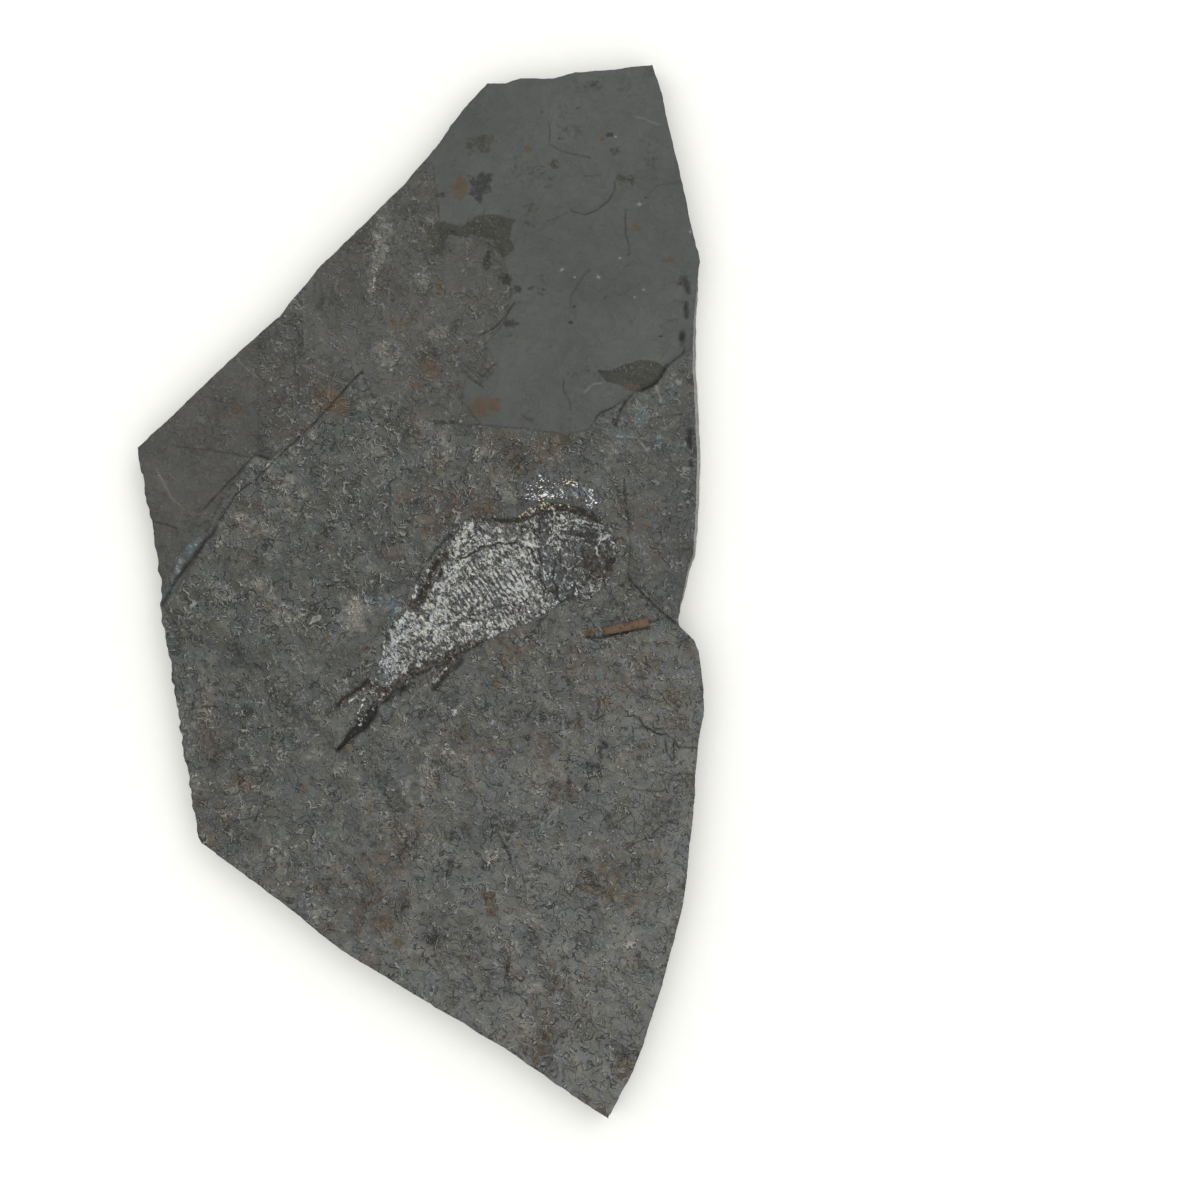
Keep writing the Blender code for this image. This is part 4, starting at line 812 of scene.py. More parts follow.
# colour of each layer, paler to the lower right, with faint drifts
def layerTint(x, y, masks):
    tint = np.tile(np.array(slabColours["plate"]), (len(x), 1))
    low = fade(0.8 * x - 0.83 * y, -15, 90)
    for share, colour in ((masks["stained"], "stained"), (masks["left"], "leftPlate"),
                          (masks["fish"], "fishLayer"), (masks["fish"] * low, "fishLayerLow"),
                          (masks["right"], "rightPlate"), (masks["corner"], "corner")):
        tint = blend(tint, share, slabColours[colour])
    return tint * (0.86 + 0.28 * cloud(x, y, 14, 97, 4))[:, None]


# rings of points down the broken sides, stepping in and out with the laminae
def sideRings(topZ):
    travelled = np.cumsum(np.linalg.norm(np.diff(topRim, axis=0, append=topRim[:1]), axis=1))
    around = travelled * 2 * math.pi / travelled[-1]
    wrapX, wrapY = 80 * np.cos(around), 80 * np.sin(around)
    flared = rightShare(rim[:, 0], rim[:, 1])
    rows = slab["sideRows"]
    made = []
    for row in range(1, rows + 1):
        drop = row / rows
        lamina = math.floor(drop * 5 + 0.3)
        out = swell(wrapX + lamina * 31, wrapY, 5.0, 100 + lamina, 4) * 0.9
        out += swell(wrapX + row * 17, wrapY, 1.3, 120 + row, 3) * 0.4
        out -= 0.25 + 0.35 * drop ** 3
        out = out * (1 - 0.75 * flared) + flared * slab["rightFlare"] * min(1.0, drop * 1.5)
        ring = topRim + rimNormal * (out * min(1.0, drop * 6) + 0.1)[:, None]
        height = topZ * (1 - drop) + 0.16 * swell(wrapX, wrapY + row * 9, 4, 140 + row, 2)
        height = np.maximum(height, slab["foot"] + 0.02) if row < rows else np.full(len(rim), slab["foot"])
        made.append(np.c_[ring, height])
    return made


def makeSlab():
    outline = [tuple(p) for p in topRim]
    flat, faces, rimIndex = fillOutline(outline, detailPoints(), slab["spacing"], 3)
    x, y = flat.T
    z, masks = slabSurface(x, y)
    z -= 0.14 * fade(lineDistance(x, y, outline, closed=True), 0.5, 0.0) * (0.4 + cloud(x, y, 2.0, 50, 3))

    # faint brown, dark and pale blotches all over, more of them on the grainy layer
    marks, grainy = markMasks(x, y), masks["grainy"]
    for kind, strength, drift, low, high in (
            ("rust", 0.42 * grainy, cloud(x, y, 9, 95, 4), 0.54, 0.70),
            ("dark", 0.2 + 0.25 * grainy, cloud(x, y, 5, 96, 4), 0.60, 0.72),
            ("pale", 0.4 * grainy, cloud(x, y, 6, 98, 4), 0.60, 0.72)):
        marks[kind] = np.maximum(marks[kind], strength * fade(drift, low, high))
    z -= slab["pitDepth"] * marks["pit"] + 0.12 * marks["olive"] * (y > 36) * (x > 30) + 0.12 * marks["dark"]
    z += 0.05 * marks["pale"]

    rings = sideRings(z[rimIndex])
    count, start = len(outline), len(x)
    verts = np.vstack([np.c_[x, y, z]] + rings)
    index = [np.array(rimIndex)] + [start + i * count + np.arange(count) for i in range(len(rings))]
    for upper, lower in zip(index, index[1:]):
        stitch(faces, upper, lower)

    # underside: flat where it rests, with shallow flake scars, on every other point of the last ring
    foot, ring = [tuple(p) for p in rings[-1][::2, :2]], index[-1]

    def underHeight(ux, uy):
        inward = lineDistance(ux, uy, foot, closed=True)
        scar = slab["scarDepth"] * fade(cloud(ux, uy, 16, 151, 4), 0.60, 0.64)
        rough = scar + 0.05 * cloud(ux, uy, 3, 152, 3)
        return slab["foot"] * fade(inward, 1.2, 0.0) + rough * fade(inward, 0.3, 2.0)

    verts = closeUnder(verts, faces, ring[::2], foot, slab["underSpacing"], 9, underHeight)
    for k in range(0, count - 1, 2):
        faces.append((int(ring[k]), int(ring[k + 1]), int(ring[(k + 2) % count])))

    below = len(verts) - start

    def padded(values, fill=0.0):
        return np.concatenate([values, np.full(below, fill)])

    flared = np.zeros(len(verts))
    flared[start:start + count * len(rings)] = np.tile(rightShare(rim[:, 0], rim[:, 1]), len(rings))
    tint = np.vstack([layerTint(x, y, masks), np.tile(np.array(slabColours["under"]), (below, 1))])
    attributes = {label: padded(marks[label]) for label in ("rust", "olive", "pale", "blue")}
    attributes.update({
        # the flaring right side face is painted pale, a painted highlight where it faces the light
        "tint": blend(tint, flared * 0.85, slabColours["side"]),
        "grainy": padded(grainy * (1 - 0.8 * marks["smooth"]), 0.4),
        # pits are painted near black, painted shade in their hollows, together with the dark stains
        "dark": padded(np.maximum(marks["dark"], 1.6 * marks["pit"])),
        "crack": padded(masks["crack"]), "scratch": padded(np.maximum(masks["scratch"], marks["white"])),
        "brokenSide": padded(np.zeros(start), 1.0)})
    return makeObject("shaleSlab", verts, faces, attributes)


# how each stain is coloured: its shade, how fully it covers and the size of its blotches
shaleStains = {
    "dark": ((0.030, 0.031, 0.029), 0.85, 0.8), "olive": ((0.044, 0.044, 0.036), 0.9, 0.8),
    "rust": ((0.082, 0.060, 0.042), 0.92, 1.2), "pale": ((0.150, 0.146, 0.130), 0.8, 0.8),
    "blue": ((0.088, 0.112, 0.125), 0.75, 0.5),
}
# wide blots over the grain: size, where they start and end in the noise, and their shade
shaleBlots = [(4.4, 0.54, 0.62, (0.91, 0.87, 0.78)), (2.7, 0.57, 0.63, (1.22, 1.19, 1.13)),
              (3.5, 0.57, 0.63, (0.90, 0.95, 0.98))]
# the pale curl shades also paint highlights on lit flake rims, the crevice shade also paints shadows beside curls
# and rims
shaleShades = {
    "cool": (0.94, 1.0, 1.06), "warm": (1.05, 1.0, 0.93), "curl": (0.23, 0.232, 0.218),
    "paleCurl": (0.32, 0.312, 0.275), "blueFleck": (0.24, 0.30, 0.34), "crevice": (0.028, 0.028, 0.025),
    "crack": (0.017, 0.016, 0.015), "scratch": (0.23, 0.23, 0.212),
}


def shaleMaterial():
    net, place = startMaterial("blackShale", 0.8, 0.12)
    flat = net.vector("MULTIPLY", place, (1, 1, 0.35))
    shades = shaleShades
    grain = net.use(flakyGrain, Place=flat, Flake=1.7, Speck=0.3, Width=0.02)
    colour = net.attribute("tint", "Color")
    mask = {}
    for label, (shade, amount, blotch) in shaleStains.items():
        stain = net.use(blotchyStain, Place=flat, Blotch=blotch, Amount=net.attribute(label))
        mask[label] = stain["Mask"]
        colour = net.mix(net.times(mask[label], amount), colour, shade)
    stained = net.times(net.timesPlus(mask["olive"], 0.4, mask["pale"]), 0.7, clamp=True)
    grainy = net.most(net.attribute("grainy"), stained)
    hue = net.mix(grain["Hue"], shades["cool"], shades["warm"])
    colour = net.mix(net.timesPlus(grainy, 0.7, 0.3), colour, net.mix(1.0, colour, hue, "MULTIPLY"))
    for size, low, high, shade in shaleBlots:
        share = net.times(net.fade(net.noise(flat, size, 1.5, 0.5, 0.5), low, high),
                          net.timesPlus(grainy, 0.7, 0.15))
        colour = net.mix(share, colour, net.mix(1.0, colour, shade, "MULTIPLY"))
    level = net.timesPlus(net.minus(grain["Tone"], 0.5), net.timesPlus(grainy, 1.3, 0.7), 1.0)
    colour = net.mix(1.0, colour, net.most(level, 0.25), "MULTIPLY")
    # pale curls and crumbs, with painted highlights on the lit flake rims
    curl = net.times(net.plus(grain["Curl"], grain["Crumb"]),
                     net.most(net.timesPlus(grainy, 0.85, 0.02), net.times(mask["pale"], 1.3)))
    colour = net.mix(net.times(curl, 0.85, clamp=True), colour,
                     net.mix(mask["pale"], shades["curl"], shades["paleCurl"]))
    # bluish flecks on the blue stains: painted glints of crystal faces
    flecks = net.times(net.use(crystalSparkle, Place=place, Spacing=0.5, Share=0.45)["Mask"], mask["blue"])
    colour = net.mix(net.times(flecks, 0.7), colour, shades["blueFleck"])
    # dark crevices, with painted shadows beside the curls and under the far flake rims
    crevice = net.times(grain["Crevice"], net.timesPlus(grainy, 0.7, 0.08))
    colour = net.mix(crevice, colour, shades["crevice"])
    # dark cracks with painted shade along steps and flake rims, then pale scratches with painted highlights on
    # lips and flake rims
    colour = net.mix(net.times(net.attribute("crack"), 0.9), colour, shades["crack"])
    colour = net.mix(net.times(net.attribute("scratch"), 0.7, clamp=True), colour, shades["scratch"])

    # laminae show as bands on the broken sides
    split = net.node("SeparateXYZ", {0: place}).outputs
    layered = net.node("CombineXYZ", {
        i: net.times(split[i], stretch) for i, stretch in enumerate((0.05, 0.05, 3.2))}).outputs[0]
    banding = net.times(net.minus(net.noise(layered, 1.0, 4.0, 0.7), 0.5), net.attribute("brokenSide"))
    colour = net.mix(1.0, colour, net.timesPlus(banding, 1.6, 1.0), "MULTIPLY")
    net.plug(colour, "Base Color")
    sparkle = net.use(crystalSparkle, Place=place, Spacing=0.55, Share=0.02)["Mask"]
    net.plug(net.timesPlus(sparkle, -0.4, 0.8), "Roughness")
    lift = net.times(grain["Height"], net.timesPlus(grainy, 1.0, 0.15))
    net.bump(net.timesPlus(banding, 2.2, lift), 0.32)
    return net.material


fish = {
    "seed": 21, "spacing": 0.15, "edgeStep": 0.3, "roughness": 0.28, "bedDepth": 0.36, "floor": 5.55, "film": 0.05,
    "rise": 0.26, "scalePitch": 0.86, "scaleRise": 0.1,
    "outline": [
        (35.9, 10.1), (34.1, 12.1), (33.1, 14), (31.5, 14.9), (28.8, 16), (25.9, 16.6), (22.6, 16.6),
        (19.4, 15.4), (18.5, 14.1), (16.1, 13.6), (13.6, 14.2), (11.2, 14.9), (9.5, 14.4), (7.9, 12.8),
        (6.2, 10.7), (3.8, 8.7), (2.3, 7.2), (1.9, 6), (0.1, 5.2), (-2.2, 4.9), (-2.3, 4.3), (-0.2, 4.2),
        (0.1, 3.3), (-0.3, 2.1), (-1.9, 1.3), (-2.3, -0.8), (-2.4, -2.8), (-4.4, -4), (-6, -6.1),
        (-6.9, -8.6), (-7.5, -11.8), (-8.3, -13.9), (-9.9, -16.3), (-12.2, -18), (-14.2, -19.6),
        (-15.5, -21.1), (-14.2, -21.6), (-12.6, -22.5), (-11.8, -23.5), (-12.6, -24.9), (-14.2, -27.4),
        (-15.3, -29.1), (-13.4, -27.6), (-10.6, -25.4), (-8.5, -22.9), (-7.9, -21.3), (-6.5, -20),
        (-4.4, -18), (-1.5, -16.3), (0.9, -15.3), (1.2, -17), (2.2, -18.3), (2.9, -17.6), (4.2, -15.5),
        (6.2, -13.1), (9.5, -11), (12, -9.4), (15.7, -7.5), (19.4, -6.1), (22.2, -4.9), (24.7, -3.6),
        (25.5, -2.4), (27.5, -1.4), (29.6, -2.4), (31.2, -1.6), (33.3, 0), (34.9, 2.1), (35.9, 4.2),
        (36.4, 6.6), (36.6, 8.7)],
    # matching points along the back and the belly, from the shoulder to the tail
    "back": [
        (18.3, 14.4), (12.3, 14.1), (8.8, 12.9), (6.4, 10.5), (4.8, 7.6), (3.7, 5), (2.4, 2.8), (0.9, 0.6),
        (-0.8, -1.5), (-2.1, -3), (-3.7, -4.6), (-5.4, -6.3), (-6.7, -8.3), (-7.3, -10.7), (-8, -13.1),
        (-9.1, -15.2), (-10.4, -17)],
    "belly": [
        (27, -2), (22.9, -4.3), (19.9, -5.9), (17, -7.2), (14.2, -8.1), (11.8, -9.1), (9.6, -10),
        (7.5, -11.1), (5.7, -12.2), (3.8, -12.9), (1.8, -13.9), (0.1, -15), (-1.7, -15.9), (-3.4, -16.6),
        (-4.7, -18.1), (-6.2, -19.4), (-8, -20.9)],
    "head": [
        (18.8, 14.3), (21.2, 15.9), (24, 16.7), (26.8, 16.7), (29.6, 15.9), (32, 14.8), (34, 13),
        (36.9, 9.8), (36.6, 4.1), (34.6, 0.7), (31.8, -1.6), (29.2, -2.8), (26, -3.6), (23.4, -1.6),
        (22, 2), (21.5, 6), (21.8, 9.6), (20.4, 11.6)],
}

# bones of the head: outline, rise, how silvery, how blue
headPlates = [
    ([(22.5, 9.2), (24.3, 9.8), (25.2, 7.4), (25.3, 4.1), (24.8, 1.2), (23.2, 0.4), (22.3, 2.6),
        (22.1, 6.3)], 0.12, 0.42, 0.7),
    ([(22.6, -0.4), (24.9, 0.4), (26.4, -1.4), (25.6, -3.3), (23.6, -3.4)], 0.1, 0.5, 0.2),
    ([(25.6, 9.4), (27.6, 8), (28.1, 5), (27.9, 3.4), (26.4, 3.6), (25.7, 5.4)], 0.12, 0.4, 0.3),
    ([(25.5, 3.2), (27.9, 3), (28.3, 0.6), (27.3, -0.9), (25.7, -0.8), (25.2, 1.2)], 0.14, 0.5, 0.9),
    ([(29.2, 0.4), (31.8, 0.9), (33.9, 2.2), (34.6, 1.2), (33.3, -0.5), (29.9, -1.5)], 0.1, 0.75, 0),
    ([(28.6, -1.2), (31.2, -1.2), (33.2, 0), (33.6, 0.3), (31.6, -1.7), (28.9, -2.3)], 0.08, 0.4, 0),
    ([(20.6, 13.4), (24.2, 14.6), (24.2, 12), (22.8, 10.4), (21, 11.6)], 0.1, 0.55, 0),
    ([(25.9, 12.4), (28.2, 13.6), (31, 13), (33.9, 11.6), (35.4, 10.9), (33.2, 10.4), (30.6, 10.8),
        (27.4, 11.4)], 0.12, 0.42, 0.25),
    ([(26.6, 11), (29.4, 10.4), (32.4, 10), (32.6, 8.2), (31.2, 6.9), (29.2, 7.2), (28, 8.6),
        (26.9, 9.6)], 0.1, 0.36, 0.2),
    ([(34.4, 10), (36.2, 10.2), (36.4, 7.6), (35.2, 7.4), (34.5, 8.7)], 0.08, 0.16, 0),
]
enamelMasks = ("silver", "brown", "blue", "groove", "gold", "pink", "rust")
# rings and arcs on the head: centre, radius, first and last angle, width, height, silver
headRings = [
    ((26, 13.7), 1.4, 0, 360, 0.26, 0.16, 0.75), ((26, 13.7), 0.6, 0, 360, 0.2, 0.1, 0.6),
    ((30, 7.6), 2.3, 20, 170, 0.15, 0.08, 0.6), ((30, 7.6), 1.5, 20, 160, 0.15, 0.08, 0.55),
    ((33.2, 5.2), 2.7, 250, 380, 0.14, 0.1, 0.4), ((32.6, 5.4), 1.5, 100, 240, 0.12, 0.06, 0.28),
    ((28.4, 8.6), 4, 20, 100, 0.12, 0.08, 0.5), ((32.8, 4.6), 2, 190, 300, 0.12, 0.06, 0.3),
]
# streaks over the fish: what it is, half its width, strength, its points
fishStreaks = [
    ("groove", 0.28, 0.95, [(-1.3, -1.8), (1.8, 1.3), (4.6, 3.9), (7.9, 6.2), (11.2, 8.2), (15.3, 9.1),
        (19.4, 8.8), (21, 7.6)]), ("groove", 0.3, 0.5, [(9.2, -4.4), (13.6, -2.8), (16.4, -2.4)]),
    ("groove", 0.29, 0.95, [(20.6, 12), (21.8, 9.8), (21.7, 7.6), (22.5, 5.2), (22, 2.8), (23.2, 0.6),
        (25, -0.4)]),
    ("groove", 0.29, 1, [(25.6, 9.8), (24.7, 7.4), (25, 5), (24.3, 3), (25.3, 1), (25.2, -0.9),
        (26.4, -1.8)]), ("groove", 0.24, 0.7, [(28, 8.2), (28.9, 5.8), (28.1, 3.4), (28.8, 0.8)]),
    ("groove", 0.2, 0.8, [(20.6, 11.8), (22.8, 10.2), (26.4, 10.9), (31, 10.3)]),
    ("groove", 0.18, 0.7, [(24.2, 11.6), (24.4, 14.6)]),
    ("groove", 0.16, 0.9, [(27.6, -1.4), (29.7, -2.1)]), ("groove", 0.2, 0.8, [(3.8, 8.4), (1.6, 6)]),
    ("groove", 0.25, 0.9, [(20.4, 7.7), (21.6, 5.6)]),
    ("groove", 0.16, 0.8, [(26.6, 7.2), (27.6, 5.6), (28.8, 3.4)]),
    ("groove", 0.18, 0.7, [(18, 13.6), (18.9, 11.9), (18.4, 10.2)]),
    ("groove", 0.16, 0.6, [(13.8, 13.6), (14.3, 11.9), (13.6, 10.2)]),
    ("groove", 0.16, 0.6, [(9.8, 12.9), (10.2, 11), (9.4, 9)]),
    ("brown", 1.35, 1, [(3.9, 6.6), (2.9, 5), (2.1, 3), (1.1, 1.2), (0.2, -0.9), (-0.9, -2.4)]),
    ("groove", 0.5, 0.9, [(3.4, 6), (2.4, 4), (1.4, 1.6), (0.2, -0.6)]),
    ("brown", 1, 1, [(9.8, 14.2), (13, 13.7), (16.1, 13), (18.4, 13.4)]),
    ("brown", 1.1, 1, [(18.4, 13.7), (21, 14.6), (24, 15.6), (27.4, 15.7), (30, 15.1), (33, 13.6)]),
    ("groove", 0.4, 0.8, [(14, 13.2), (17.6, 13), (20.6, 14), (24.2, 15), (28.4, 15), (32.2, 13.6)]),
    ("gold", 0.95, 1.2, [(18.2, 14.4), (20, 15.2), (22.4, 16.2), (25, 16.6), (27.4, 16.4)]),
    ("brown", 1.2, 0.85, [(12.2, -8.6), (9.2, -9.9), (6.2, -11.2), (3.6, -12.7), (0.8, -14), (-1.8, -15.4),
        (-4.4, -17.2)]),
    ("groove", 0.4, 0.8, [(10.6, -9.9), (7, -11.6), (4.2, -13.4), (0.6, -14.8), (-2.6, -16.6)]),
    ("brown", 1.6, 1, [(-9.7, -17.3), (-8.6, -18.7), (-6.8, -18.7), (-4.4, -17.6)]),
    ("groove", 0.5, 0.8, [(-8.6, -20.4), (-6.8, -19.6), (-4.6, -18.4)]),
    ("rust", 0.7, 0.9, [(-8.1, -17.9), (-7.6, -18.8), (-7, -19.2)]),
    ("brown", 1.3, 1.3, [(-8.6, -21.6), (-10.2, -23.6), (-11.6, -25.2), (-12.8, -26.4)]),
    ("groove", 1.25, 1.25, [(-8.8, -21.9), (-10.2, -23.7), (-11.5, -25.2), (-12.8, -26.4)]),
    ("groove", 0.55, 1.25, [(-12.6, -26.2), (-13.8, -27.6), (-15.1, -29)]),
    ("brown", 0.8, 1.2, [(-8.6, -16.4), (-10, -17.2), (-12.2, -18.7), (-14, -20.1), (-15.4, -21.1)]),
    ("groove", 0.35, 1, [(-9.4, -16.4), (-11.4, -17.7), (-13.4, -19.2), (-15.4, -21)]),
    ("brown", 1, 1, [(6.6, -12.8), (4.2, -14.8), (2.2, -18.2)]),
    ("brown", 0.4, 0.9, [(1, -15), (1.4, -17)]),
    ("groove", 0.25, 0.9, [(7, -13), (4.4, -15.6), (2.3, -18.1)]),
    ("brown", 0.3, 1, [(-2.4, -2.7), (-4.2, -3.9), (-6, -4.6)]),
    ("blue", 1.6, 0.7, [(-2, -5.6), (-5, -8.6), (-5.6, -12.2), (-6.9, -15.6)]),
    ("blue", 1.1, 0.9, [(-7.2, -12.6), (-6.2, -15.4), (-4.6, -16.4)]),
    ("blue", 0.5, 0.8, [(26.4, 3.4), (26.8, 2), (26.4, 0.6)]),
    ("white", 0.5, 1.2, [(-0.9, 2), (-0.7, 0.6), (-1.1, -0.8)]),
    ("white", 0.2, 0.8, [(-2, 4.6), (-0.2, 4.9)]), ("white", 0.4, 0.8, [(5.8, 9.9), (7.4, 12), (9, 13.4)]),
    ("white", 0.3, 0.9, [(12, -9.3), (15.7, -7.4), (19.4, -6), (22.2, -4.8), (24.6, -3.6)]),
    ("white", 0.5, 0.9, [(24, -2.6), (25.4, -1.9)]),
    ("white", 0.5, 0.6, [(28.9, 0.4), (31.2, 0.6), (33.2, 1.6)]),
    ("white", 0.35, 0.7, [(28.6, -1), (31, -1.2), (33, 0.1)]),
    ("white", 0.32, 1, [(-9.9, -18.9), (-10.8, -20.8), (-11.6, -22.4), (-12.4, -23.9)]),
    ("white", 0.22, 0.8, [(-10.4, -17.9), (-12, -19.5), (-13.2, -20.9)]),
    ("white", 0.2, 0.7, [(4.8, -14), (3.6, -15.6), (2.6, -17)]),
    ("pink", 1.2, 0.8, [(16.5, -2.6), (19, -3.4), (21.6, -3)]),
    ("bone", 0.16, 0.7, [(26.8, 13.3), (29.5, 13.2), (32.5, 12.5), (35.3, 11.2)]),
    ("bone", 0.14, 0.55, [(27.6, 12.4), (30.5, 12.2), (33.4, 11.4), (35.2, 10.4)]),
    ("bone", 0.13, 0.5, [(24.6, 12.4), (25.2, 11.5), (27.6, 11.5), (30.6, 11.4), (33, 10.7)]),
    ("bone", 0.2, 0.95, [(34, 9.9), (33, 9.2), (32.5, 8.1), (32.9, 6.9)]),
    ("bone", 0.14, 0.6, [(26.6, 10), (28.6, 9.6), (30.6, 9.9)]),
    ("bone", 0.14, 0.5, [(35.9, 9.4), (36.2, 7.2), (36, 5)]),
    ("bone", 0.14, 0.6, [(22.7, 8.8), (22.9, 5.2), (23.2, 1.4)]),
    ("bone", 0.14, 0.5, [(24.2, 9), (24.1, 5), (24.3, 1.2)]),
    ("bone", 0.14, 0.5, [(25.8, 8.8), (26.9, 7), (27.6, 4.4)]),
    ("bone", 0.13, 0.4, [(31.4, 3.2), (33, 2.2), (34.6, 2.6)]),
]


# columns of scales from the shoulder to the tail, and 0 at the back to 1 at the belly
def bodyPlace(x, y):
    column, across = np.zeros(x.shape), np.zeros(x.shape)
    best = np.full(x.shape, 1e9)
    back, belly = fish["back"], fish["belly"]
    passed = 0.0
    for a, b, c, d in zip(back, back[1:], belly[1:], belly):
        ex, ey, fx, fy = b[0] - a[0], b[1] - a[1], d[0] - a[0], d[1] - a[1]
        gx, gy = a[0] - b[0] + c[0] - d[0], a[1] - b[1] + c[1] - d[1]
        hx, hy = x - a[0], y - a[1]
        k2, k1, k0 = gx * fy - gy * fx, ex * fy - ey * fx + hx * gy - hy * gx, hx * ey - hy * ex
        length = (math.dist(a, b) + math.dist(c, d)) / 2
        if abs(k2) < 1e-4:
            k2 = 1e-4
        root = np.sqrt(np.maximum(k1 * k1 - 4 * k0 * k2, 0))
        for v in ((-k1 - root) / (2 * k2), (-k1 + root) / (2 * k2)):
            bottom = ex + gx * v
            u = np.where(np.abs(bottom) > 1e-6, (hx - fx * v) / np.where(np.abs(bottom) > 1e-6, bottom, 1), 9)
            miss = np.maximum(0, -u) + np.maximum(0, u - 1) + np.maximum(0, -v) + np.maximum(0, v - 1)
            better = miss < best
            column = np.where(better, passed + np.clip(u, -0.5, 1.5) * length, column)
            across = np.where(better, v, across)
            best = np.where(better, miss, best)
        passed += length
    return column, across


def arcReach(x, y, ring):
    (cx, cy), radius, first, last, width = ring[:5]
    away = np.abs(np.hypot(x - cx, y - cy) - radius)
    angle = np.degrees(np.arctan2(y - cy, x - cx))
    turn = (angle - first) % 360
    share = fade(away, width, width * 0.4)
    whole = last - first == 360
    return share if whole else share * (turn <= last - first)


